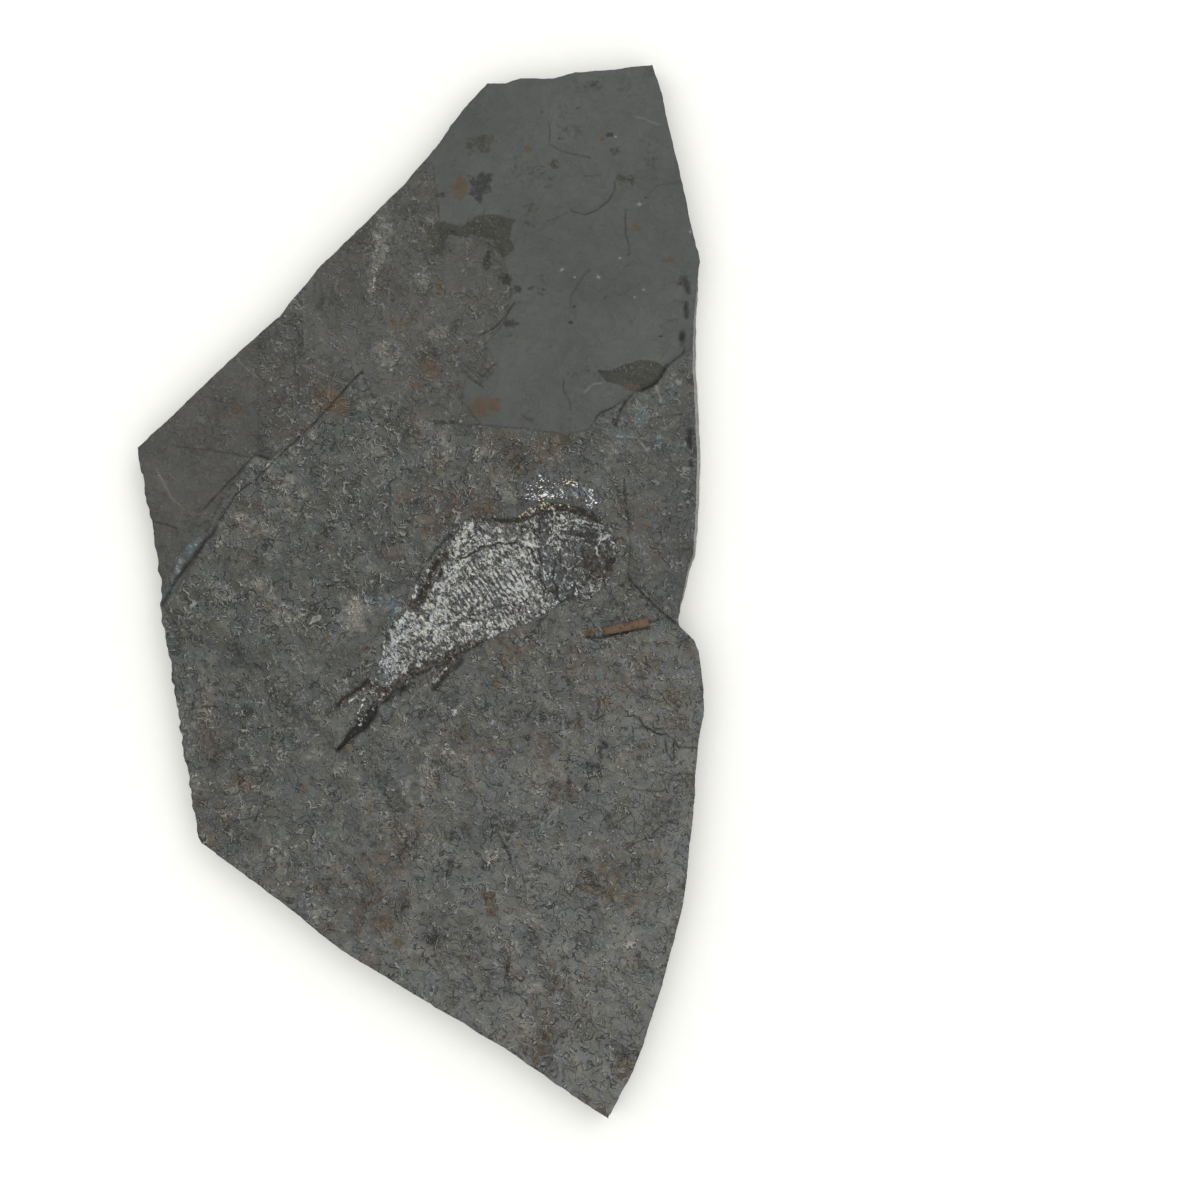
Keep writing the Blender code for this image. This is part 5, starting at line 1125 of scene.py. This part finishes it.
# height of the fish over the shale, with masks for its silver, brown, blue and grooves
def fishSurface(x, y, outline):
    along, across = bodyPlace(x, y)
    inner = shapeDistance(x, y, outline)
    ragged = 3.4 * swell(x, y, 1.8, 197, 3) * fade(x, 28, 24)
    head = fade(shapeDistance(x + ragged, y, fish["head"]), -0.4, 0.4)
    behindEye = fade(x, 29, 26)
    body = (1 - head) * fade(across, -0.02, 0.03) * fade(across, 1.02, 0.97)
    body = body * fade(along + 2.6 * cloud(x, y, 1.6, 199, 3), 41.6, 39.0)
    flank = fade(across, 0.26, 0.36) * fade(across, 0.97, 0.88)

    # columns of deep scales, each lapping over the one behind it
    bent = along + 0.7 * np.sin(across * 3.1) + 0.6 * swell(x, y, 3.0, 200, 3)
    bent += 0.5 * swell(x, y, 0.8, 206, 2)
    column = (bent + 0.007 * bent * bent) / fish["scalePitch"]
    number = np.floor(column)
    phase = column - number
    row = across * (9 + 6 * fade(along, 2, 20)) + hash01(number, 0 * number, 9) + 0.3 * phase
    row = row + 0.5 * swell(x, y, 1.0, 207, 2)
    tone = hash01(number, np.floor(row), 3)
    lap = phase ** 1.4 * fade(phase, 1.0, 0.82)
    seam = np.maximum(fade(phase, 0.76, 0.92) * fade(phase, 1.0, 0.95) + fade(phase, 0.12, 0.0),
                      fade(np.abs(row - np.floor(row) - 0.5), 0.36, 0.48) * 0.6)
    profile = np.sin(np.pi * np.clip(across, 0, 1)) ** 0.5
    z = fish["film"] + body * (fish["rise"] * profile + fish["scaleRise"] * (lap + 0.6 * (tone - 0.5)))

    # bright flank: seams between the scales, slanting stripes in the middle, worn gaps all over
    slant = (0.79 * x + 0.62 * y) / 0.92 + 0.9 * swell(x, y, 2.5, 204, 2)
    stripe = 0.5 + 0.5 * np.cos(2 * math.pi * slant)
    dx, dy = x - 12.2, y - 0.4
    middle = fade(np.hypot((0.9 * dx + 0.43 * dy) / 7.5, (0.9 * dy - 0.43 * dx) / 3.4)
                  + 0.5 * swell(x, y, 2.0, 208, 3), 1.1, 0.6)
    gaps = fade(cloud(x, y, 0.8, 201, 4), 0.54, 0.68)
    silver = 0.54 + 0.34 * (tone - 0.5) + 0.55 * swell(x, y, 3.6, 202, 3)
    silver -= seam * (0.16 + 0.28 * fade(cloud(x, y, 5.0, 205, 2), 0.3, 0.6))
    silver -= 0.5 * middle * fade(stripe, 0.5, 0.12) - 0.14 * middle * fade(stripe, 0.6, 0.9)
    silver -= 0.34 * gaps
    silver += 0.3 * fade(cloud(x, y, 0.8, 212, 3), 0.58, 0.68)
    silver += 0.08 * fade(along, 18, 26) - 0.26 * fade(along, 24, 34)
    silver -= 0.12 * fade(across, 0.62, 0.8) * fade(along, 14, 6)

    # the upper flank is broken into rougher plates
    chip, gap, _, _ = flakeCells(x + 0.9 * cloud(x, y, 0.9, 213, 3), y, 1.0, 214)
    plates = (0.22 + 0.5 * fade(chip, 0.2, 0.8)) * fade(gap, 0.0, 0.15)
    plates += 0.5 * swell(x, y, 0.8, 203, 4)
    silver = body * (silver * flank + plates * (1 - flank))
    z += body * (0.08 * (1 - flank) * (chip - 0.5) - 0.08 * gaps - 0.05 * seam * flank)

    wrinkle = cloud(x, y, 0.9, 216, 2) - 0.5
    z += head * (0.12 + 0.1 * cloud(x, y, 2.2, 210, 4))
    silver += head * (0.01 + (0.24 + 0.26 * behindEye) * fade(cloud(x, y, 0.9, 211, 3), 0.5, 0.62))
    masks = {kind: np.zeros(x.shape) for kind in (
        "brown", "blue", "groove", "gold", "white", "pink", "rust", "bone")}

    def lay(kind, value):
        masks[kind] = np.maximum(masks[kind], value)

    for i, (points, rise, bright, tintBlue) in enumerate(headPlates):
        away = shapeDistance(x + 0.9 * swell(x, y, 1.0, 220 + i, 3),
                             y + 0.7 * swell(x, y, 1.3, 320 + i, 2), points)
        on = fade(away, -0.05, 0.12)
        z += head * rise * fade(away, -0.05, 0.35)
        growth = 0.5 + 0.5 * np.sin(away * 11 + 6 * cloud(x, y, 1.2, 290 + i, 2))
        mottled = bright * (0.04 + 0.66 * growth) + 0.4 * swell(x, y, 0.7, 240 + i, 3)
        z += head * 0.05 * on * growth
        silver = silver * (1 - on * head) + on * head * mottled
        lay("blue", on * tintBlue)
        lay("groove", 0.45 * head * fade(np.abs(away), 0.18, 0.04)
            * fade(cloud(x, y, 1.1, 330 + i, 2), 0.35, 0.55))
    lay("groove", (0.75 - 0.4 * behindEye) * head * fade(cloud(x, y, 1.5, 355, 4), 0.56, 0.66))
    for seed, size in ((340, 2.6), (341, 1.7), (342, 1.1)):
        wander = cloud(x + 0.6 * wrinkle, y, size, seed, 2) - 0.5
        lay("groove", 0.9 * head * fade(np.abs(wander), 0.03, 0.008)
            * fade(cloud(x, y, 2.0, seed + 20, 2), 0.38, 0.52))
        silver = np.maximum(silver, 0.7 * head * fade(np.abs(wander - 0.08), 0.035, 0.01) * fade(
            cloud(x, y, 1.5, seed + 10, 2), 0.36, 0.5))
    for ring in headRings:
        reach = arcReach(x, y, ring) * fade(cloud(x, y, 0.9, 215, 2), 0.25, 0.45)
        z += ring[5] * reach
        silver = np.maximum(silver, reach * ring[6])

    # the eye and the crushed bones round it are brown and sunken
    socket = fade(np.hypot((x - 32.9) / 3.3, (y - 5.2) / 3.9)
                  + 0.5 * swell(x, y, 1.4, 230, 3), 1.05, 0.75)
    mottle = cloud(x, y, 1.3, 231, 4)
    silver = silver * (1 - 0.8 * socket)
    masks["brown"] = socket * (0.6 + 0.4 * fade(mottle, 0.4, 0.6))
    silver = np.maximum(silver, 0.34 * socket * fade(np.abs(mottle - 0.5), 0.05, 0.02))
    z -= 0.14 * socket
    broken = 0.25 + 0.75 * fade(cloud(x, y, 1.3, 352, 3), 0.36, 0.54)
    wanderX = 0.8 * swell(x, y, 1.6, 350, 3)
    wanderY = 0.8 * swell(x, y, 1.6, 351, 3)
    for i, (kind, half, strength, points) in enumerate(fishStreaks):
        away = lineDistance(x + wanderX, y + wanderY, points)
        away = away + half * 1.6 * swell(x, y, max(half * 0.8, 0.4), 260 + i, 4)
        reach = strength * fade(away, half, half * 0.45)
        lay(kind, reach * broken if kind == "groove" and half < 0.3 else reach)
    ragged = fade(inner + 1.3 * (cloud(x, y, 0.9, 353, 3) - 0.42), 0.0, 0.35)
    masks["brown"] *= np.maximum(ragged, fade(y, -10, -14))
    silver = silver * (1 - 0.85 * np.clip(masks["brown"], 0, 1)) * (1 - 0.9 * masks["groove"])
    silver = np.maximum(silver, 0.36 * masks["brown"] * fade(cloud(x, y, 0.7, 354, 4), 0.58, 0.72))
    silver = np.maximum(silver, 0.9 * masks["white"] * fade(cloud(x, y, 0.6, 280, 3), 0.38, 0.58))
    silver = np.maximum(silver, masks["bone"] * (0.5 + 0.8 * cloud(x, y, 0.7, 286, 2)))
    silver += 0.1 * masks["blue"] * body
    z += 0.08 * masks["bone"] - 0.12 * masks["groove"]

    # fins lie flat with fine rays
    fins = np.clip(1 - body - head, 0, 1)
    rays = 0.5 + 0.5 * np.sin(6.5 * (x * 0.5 - y * 0.85) + 3 * cloud(x, y, 2.0, 281, 2))
    z += fins * (0.05 + 0.07 * rays)
    silver += fins * 0.2 * fade(cloud(x, y, 0.5, 282, 3), 0.54, 0.64)
    z += 0.07 * swell(x, y, 0.42, 283, 2) + 0.05 * swell(x, y, 1.0, 284, 2)
    reachIn = fade(inner, 0.0, 0.35)
    edge = fade(inner + 0.9 * swell(x, y, 0.8, 285, 3), 0.0, 0.4)
    z = z * reachIn - 0.06 * (1 - reachIn)
    masks["silver"] = np.clip(silver, 0, 1) * edge
    return z, {label: masks[label] for label in enamelMasks}


# a closed thin block on the grainy layer: a detailed top, short sides and a plain hidden underside
def reliefBlock(name, piece, outline, surface):
    flat, faces, rimIndex = fillOutline(outline, [], piece["spacing"], piece["seed"] + 1)
    x, y = flat.T
    z, masks = surface(x, y, outline)
    start, count = len(x), len(outline)
    verts = np.vstack([np.c_[x, y, baseHeight(x, y) + z],
                       np.c_[flat[rimIndex], np.full(count, piece["floor"])]])
    area = sum(a[0] * b[1] - b[0] * a[1] for a, b in zip(outline, outline[1:] + outline[:1]))
    stitch(faces, rimIndex, list(range(start, start + count)), flip=area > 0)
    verts = closeUnder(verts, faces, list(range(start, start + count)), outline, piece["spacing"] * 8,
                       piece["seed"] + 2, lambda ux, uy: np.full(len(ux), piece["floor"]))
    below = np.zeros(len(verts) - start - count)
    attributes = {label: np.concatenate([values, values[rimIndex], below]) for label, values in masks.items()}
    made = makeObject(name, verts, faces, attributes)
    print(name + ":", len(verts), "points", len(faces), "faces")
    return made


def brokenOutline(piece):
    return roughLine(piece["outline"], piece["edgeStep"], piece["roughness"], piece["seed"], closed=True)


# the grainy layer without its flakes, which the fish and the loose scales lie on
def baseHeight(x, y):
    return slab["bedding"] + slab["fishRise"] + swell(x, y, 26, 31, 3) * 0.22


# line and crustLine also paint highlights on lit flake rims, pit also paints shadows beside them; gold, dullGold
# and glint paint glints
enamelShades = {
    "silver": (0.52, 0.52, 0.475), "steel": (0.37, 0.42, 0.46), "cream": (0.55, 0.52, 0.40),
    "blue": (0.34, 0.39, 0.42), "pink": (0.46, 0.36, 0.38), "matrixLow": (0.042, 0.043, 0.040),
    "matrixHigh": (0.118, 0.120, 0.112), "crustLow": (0.008, 0.007, 0.006),
    "crustHigh": (0.075, 0.062, 0.047), "blueMatrix": (0.115, 0.130, 0.140),
    "rust": (0.066, 0.040, 0.025), "line": (0.23, 0.235, 0.22), "crustLine": (0.17, 0.145, 0.11),
    "groove": (0.014, 0.014, 0.014), "pit": (0.017, 0.017, 0.018), "gold": (0.78, 0.68, 0.38),
    "dullGold": (0.42, 0.36, 0.26), "glint": (0.85, 0.86, 0.82),
}


def enamelMaterial(name):
    net, place = startMaterial(name, 0.42, 0.2)
    shades = enamelShades
    silver, brown, blue, groove, gold, pink, rust = [net.attribute(label) for label in enamelMasks]
    grain = net.use(flakyGrain, Place=place, Flake=0.42, Speck=0.2, Width=0.05)
    speck = net.node("TexVoronoi", {"Vector": place, "Scale": 2.9}).outputs["Color"]
    split = net.node("SeparateColor", {"Color": speck}).outputs

    # wormy enamel: short bright lengths with dark pits between, drawn out along the scale rows
    drawn = net.node("CombineXYZ", {
        0: net.vector("DOT_PRODUCT", place, (0.79, 0.62, 0.0), "Value"),
        1: net.vector("DOT_PRODUCT", place, (-0.34, 0.43, 0.0), "Value")}).outputs[0]
    worm = net.noise(drawn, 0.5, 2.0, 0.6, 0.9)
    lean = net.minus(silver, 0.5)
    lively = net.fade(silver, 0.02, 0.25)
    tone = net.timesPlus(net.minus(net.noise(place, 0.3, 3.0, 0.7), 0.5), 2.0,
                         net.timesPlus(split[0], 0.5, -0.25))
    level = net.fade(net.plus(tone, silver), 0.1, 1.05)
    wormy = net.fade(net.timesPlus(lean, 0.34, worm), 0.46, 0.56)
    level = net.times(net.plus(net.times(level, 0.5), net.times(wormy, 0.62)), lively)
    pits = net.times(net.fade(net.timesPlus(lean, 0.12, worm), 0.43, 0.34), lively)
    bright = net.mix(net.fade(split[1], 0.5, 0.9), shades["silver"], shades["steel"])
    bright = net.mix(net.fade(split[2], 0.75, 0.95), bright, shades["cream"])
    bright = net.mix(net.times(blue, 0.6), bright, shades["blue"])
    bright = net.mix(net.times(pink, 0.6), bright, shades["pink"])

    # stone and brown crust between the bright parts
    mottle = net.fade(net.plus(grain["Tone"], net.minus(worm, 0.5)), 0.36, 0.64)
    matrix = net.mix(mottle, shades["matrixLow"], shades["matrixHigh"])
    crust = net.mix(mottle, shades["crustLow"], shades["crustHigh"])
    matrix = net.mix(net.times(blue, 0.45, clamp=True), matrix, shades["blueMatrix"])
    matrix = net.mix(net.times(brown, 0.9, clamp=True), matrix, crust)
    matrix = net.mix(net.times(rust, 0.75), matrix, shades["rust"])
    paleLine = net.mix(net.times(brown, 1.0, clamp=True), shades["line"], shades["crustLine"])
    # pale lines from the grain, with painted highlights on its lit flake rims
    lines = net.times(net.plus(grain["Curl"], grain["Crumb"]), net.timesPlus(brown, -0.05, 0.8), clamp=True)
    matrix = net.mix(lines, matrix, paleLine)
    matrix = net.mix(net.times(groove, 0.85, clamp=True), matrix, shades["groove"])
    colour = net.mix(level, matrix, bright)
    # dark pits, with painted shadows from the grain beside its curls and rims
    pits = net.most(net.times(grain["Crevice"], 0.8), net.times(pits, 0.85))
    colour = net.mix(pits, colour, shades["pit"])

    # gold crystals along the crust, painted bright as glints, and a few painted glints on the silver
    golden = net.fade(net.plus(gold, net.times(brown, 0.4)), 0.5, 1.0)
    golden = net.times(net.use(crystalSparkle, Place=place, Spacing=0.5, Share=0.55)["Mask"], golden)
    colour = net.mix(golden, colour, net.mix(split[0], shades["gold"], shades["dullGold"]))
    few = net.use(crystalSparkle, Place=place, Spacing=0.36, Share=0.06)["Mask"]
    few = net.times(few, net.fade(silver, 0.3, 0.7))
    net.plug(net.mix(few, colour, shades["glint"]), "Base Color")
    net.plug(net.timesPlus(level, -0.3, 0.68), "Roughness")
    net.bump(net.timesPlus(worm, 1.6, grain["Height"]), 0.09)
    return net.material


def makeFish():
    made = reliefBlock("fossilFish", fish, brokenOutline(fish), fishSurface)
    made.data.materials.append(enamelMaterial("silveryScales"))
    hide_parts("fossil_fish")
    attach(made, "root")


scatter = {
    "seed": 31, "spacing": 0.17, "edgeStep": 0.3, "roughness": 0.35, "floor": 5.62, "film": 0.05, "sunk": 0.06,
    "outline": [
        (18.9, 17), (18.4, 18.6), (19, 20.2), (20.8, 21), (21, 23.6), (22.8, 24.4), (24.4, 23),
        (26.8, 21.9), (28.6, 20.9), (30.8, 20.2), (32, 18.6), (32.7, 16.6), (32.8, 15.3), (31.4, 15.4),
        (29.2, 16.5), (26.2, 17.1), (23.6, 17.2), (21, 16.6)],
}


def scatterSurface(x, y, outline):
    inner = shapeDistance(x, y, outline)
    edge = fade(inner + 1.2 * swell(x, y, 1.1, 300, 3), 0.0, 0.8)
    smooth = fade(np.hypot((x - 29.2) / 1.7, (y - 18.8) / 1.3) + 0.5 * swell(x, y, 1.2, 304, 2), 1.1, 0.7)
    film = edge * fade(cloud(x, y, 2.0, 301, 4) + 0.08 * (x > 24.5) + 0.2 * smooth, 0.44, 0.62)
    tone, gap, _, _ = flakeCells(x, y, 0.75, 302)
    z = scatter["film"] + film * (0.06 + 0.08 * tone * fade(gap, 0.0, 0.2))
    z += 0.06 * swell(x, y, 0.6, 303, 3)
    reach = fade(inner, 0.0, 0.3)
    z = z * reach - scatter["sunk"] * (1 - reach)
    gold = edge * fade(y - 0.06 * (x - 22) - 17.4, 0.5, -0.5) * fade(x, 27.5, 25.5)
    gold = np.maximum(gold, 0.8 * edge * fade(np.hypot((x - 26.9) / 1.2, (y - 20.4) / 0.7), 1.2, 0.6))
    return z, {"silver": film * (0.10 + 0.14 * tone) * (1 - smooth) + 0.2 * smooth,
               "brown": 0.5 * edge * fade(y, 17.4, 16.4), "blue": 0.8 * film + 0.6 * smooth,
               "groove": 0.4 * fade(gap, 0.08, 0.0) * film, "gold": gold, "pink": 0 * x, "rust": 0.3 * gold}


def makeScatter():
    outline = brokenOutline(scatter)
    made = reliefBlock("looseScales", scatter, outline, scatterSurface)
    made.data.materials.append(enamelMaterial("loosenedScales"))
    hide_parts("scattered_scales")
    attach(made, "root")
    makeGlitter(outline)


glitter = {
    "flakes": 190, "sides": 5, "smallest": 0.07, "largest": 0.30, "lift": 0.17, "half": 0.06, "root": 0.12,
    "tones": [(0.80, 0.82, 0.84), (0.92, 0.92, 0.90), (0.60, 0.68, 0.80), (0.86, 0.76, 0.40),
              (0.62, 0.60, 0.56), (0.85, 0.66, 0.55)],
    # where they lie: middle, spread, share, weights of the tones
    "bands": [
        ((23.2, 17.7), (1.9, 0.45), 0.30, (4, 7, 2, 0.5, 1, 0.3)),
        ((31.6, 17.2), (0.5, 1.6), 0.24, (3, 5, 4, 0.3, 1, 0.8)),
        ((23.0, 19.8), (1.9, 0.5), 0.09, (4, 4, 3, 0.5, 1, 0.3)),
        ((27.6, 20.2), (0.8, 0.3), 0.06, (1, 3, 1, 5, 1, 0.6)),
        ((24.6, 17.0), (2.4, 0.3), 0.16, (1, 3, 0.5, 6, 1, 1)),
        ((25.6, 18.9), (2.6, 1.6), 0.10, (2, 3, 3, 1, 3, 0.3))],
}


# small tilted enamel flakes that glitter, thickest along the top of the head
def makeGlitter(outline):
    rng = random.Random(8)
    verts, faces, tints = [], [], []
    bands, sides = glitter["bands"], glitter["sides"]
    while len(verts) < glitter["flakes"] * 2 * sides:
        centre, spread, _, weights = rng.choices(bands, [b[2] for b in bands])[0]
        cx = rng.gauss(centre[0], spread[0])
        cy = rng.gauss(centre[1], spread[1])
        size = min(glitter["largest"], max(glitter["smallest"], rng.lognormvariate(-2.15, 0.42)))
        spin, stretch = rng.uniform(0, 6.28), rng.uniform(0.45, 0.95)
        tiltX, tiltY = rng.gauss(0, 0.25), rng.gauss(0, 0.25)
        tint = rng.choices(glitter["tones"], weights)[0]
        spot = (np.array([cx]), np.array([cy]))
        if not insideShape(*spot, outline)[0]:
            continue
        base = float(baseHeight(*spot)[0]) + glitter["lift"]
        start = len(verts)
        for height in (-glitter["root"], glitter["half"]):
            for k in range(sides):
                angle = spin + k * 2 * math.pi / sides
                reach = size * (0.8 + 0.35 * rng.random())
                dx, dy = reach * math.cos(angle), reach * stretch * math.sin(angle)
                verts.append((cx + dx, cy + dy, base + (tiltX * dx + tiltY * dy + height)))
                tints.append(tint)
        lower = [start + k for k in range(sides)]
        upper = [k + sides for k in lower]
        faces += [tuple(upper), tuple(reversed(lower))]
        stitch(faces, upper, lower, flip=True)
    made = makeObject("enamelGlitter", verts, faces, {"tint": np.array(tints)}, smooth=False)
    net, place = startMaterial("glitteringEnamel", 0.25, 0.5)
    grain = net.use(flakyGrain, Place=place, Flake=0.4, Speck=0.12, Width=0.06)
    colour = net.mix(net.fade(grain["Tone"], 0.3, 0.6, 0.6, 0.0),
                       net.attribute("tint", "Color"), (0.12, 0.12, 0.12))
    net.plug(colour, "Base Color")
    net.bump(grain["Height"], 0.04)
    made.data.materials.append(net.material)
    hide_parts("scattered_scales")
    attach(made, "root")


stem = {
    "seed": 41, "spacing": 0.16, "edgeStep": 0.3, "roughness": 0.1, "floor": 5.5, "rise": 0.42, "sunk": 0.06,
    "start": (33.8, -7.3), "end": (42.3, -5.5), "half": 0.86, "grooves": 8,
    "dark": (0.050, 0.028, 0.016), "light": (0.135, 0.078, 0.045), "pale": (0.150, 0.090, 0.055),
    "break": (0.040, 0.024, 0.016), "rub": (0.11, 0.10, 0.085),
}
stemWay = np.array(stem["end"]) - np.array(stem["start"])
stemLength = float(np.linalg.norm(stemWay))
stemWay = stemWay / stemLength
stemAcross = np.array((-stemWay[1], stemWay[0]))


def stemOutline():
    left, right = [], []
    for i in range(13):
        share = i / 12
        wide = stem["half"] * (0.86 + 0.14 * min(1, share * 3)) * (1 if share < 0.97 else 0.8)
        middle = np.array(stem["start"]) + stemWay * stemLength * share
        left.append(tuple(middle + stemAcross * wide))
        right.append(tuple(middle - stemAcross * wide))
    return left + right[::-1]


# a round back with ribs along it, worn at the left end and broken here and there
def stemSurface(x, y, outline):
    dx, dy = x - stem["start"][0], y - stem["start"][1]
    u = dx * stemWay[0] + dy * stemWay[1]
    v = (dx * stemAcross[0] + dy * stemAcross[1]) / stem["half"]
    roundness = np.sqrt(np.clip(1 - v * v * 0.92, 0, 1))
    inner = fade(shapeDistance(x, y, outline), 0.0, 0.25)
    ribs = 0.5 + 0.5 * np.cos(v * stem["grooves"] * 2.2 + 1.2 * cloud(u, v * 4, 2.0, 401, 2))
    broken = fade(cloud(x, y, 1.1, 402, 3), 0.55, 0.66)
    z = (0.10 + stem["rise"] * roundness * (0.35 + 0.65 * fade(u, 0.0, 1.4))) * inner
    z += inner * (0.035 * ribs - 0.09 * broken + 0.05 * swell(x, y, 0.5, 403, 2))
    z -= stem["sunk"] * (1 - inner)
    return z, {"paler": fade(u, 0.2, 1.4) * (0.55 + 0.45 * cloud(u, v, 1.4, 404, 3)), "broken": broken}


def makeStem():
    stem["outline"] = stemOutline()
    made = reliefBlock("rustyStem", stem, brokenOutline(stem), stemSurface)
    net, place = startMaterial("rustedStem", 0.7, 0.25)
    grain = net.use(flakyGrain, Place=place, Flake=0.9, Speck=0.2, Width=0.06)
    shade = net.mix(grain["Tone"], stem["dark"], stem["light"])
    shade = net.mix(net.times(net.attribute("paler"), 0.6), shade, stem["pale"])
    shade = net.mix(net.times(net.attribute("broken"), 0.6), shade, stem["break"])
    rub = net.use(blotchyStain, Place=place, Amount=0.3, Blotch=0.5)["Mask"]
    shade = net.mix(net.times(rub, 0.5), shade, stem["rub"])
    net.plug(shade, "Base Color")
    net.bump(grain["Height"], 0.08)
    made.data.materials.append(net.material)
    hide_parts("stem_fragment")
    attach(made, "root")


studio = {
    "centre": (33.2, -1.5), "halfWidth": 111.0, "distance": 450.0,
    "floorSize": 2.4, "skyStrength": 1.19, "keyPower": 4.0, "keySize": 1.1,
    "keyPlace": (0.67, 0.99, 1.28),
}


def makeStudio():
    half = studio["floorSize"] / 2
    mesh = bpy.data.meshes.new("paperFloor")
    corners = [(-half, -half, 0), (half, -half, 0), (half, half, 0), (-half, half, 0)]
    mesh.from_pydata(corners, [], [(0, 1, 2, 3)])
    floor = bpy.data.objects.new("paperFloor", mesh)
    bpy.context.scene.collection.objects.link(floor)
    net, place = startMaterial("whitePaper", 0.9, 0.1)
    fibre = net.noise(place, 3.0, 4.0)
    colour = net.mix(fibre, (0.855, 0.851, 0.812), (0.880, 0.876, 0.836))
    net.plug(colour, "Base Color")
    mesh.materials.append(net.material)

    world = bpy.data.worlds.new("softRoom")
    world.use_nodes = True
    sky = world.node_tree.nodes["Background"]
    sky.inputs["Color"].default_value = (1.0, 1.0, 1.0, 1.0)
    sky.inputs["Strength"].default_value = studio["skyStrength"]
    bpy.context.scene.world = world

    key = bpy.data.lights.new("window", "AREA")
    key.shape = "RECTANGLE"
    key.size = studio["keySize"]
    key.size_y = studio["keySize"]
    key.energy = studio["keyPower"]
    lamp = bpy.data.objects.new("window", key)
    lamp.location = studio["keyPlace"]
    aim = Vector((0.0, 0.0, 0.0)) - lamp.location
    lamp.rotation_euler = aim.to_track_quat("-Z", "Y").to_euler()
    bpy.context.scene.collection.objects.link(lamp)

    camera = bpy.data.cameras.new("camera")
    camera.sensor_width = 36.0
    camera.lens = camera.sensor_width * studio["distance"] / (2 * studio["halfWidth"])
    eye = bpy.data.objects.new("camera", camera)
    eye.location = (studio["centre"][0] * mm, studio["centre"][1] * mm, (studio["distance"] + 6.0) * mm)
    bpy.context.scene.collection.objects.link(eye)
    bpy.context.scene.camera = eye
    bpy.context.scene.view_settings.view_transform = "Standard"


makeStudio()

slabPiece = makeSlab()
slabPiece.data.materials.append(shaleMaterial())
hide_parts("shale_slab")
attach(slabPiece, "root")
print("slab ready")
makeFish()
print("fish ready")
makeScatter()
makeStem()
print("loose scales and stem ready")
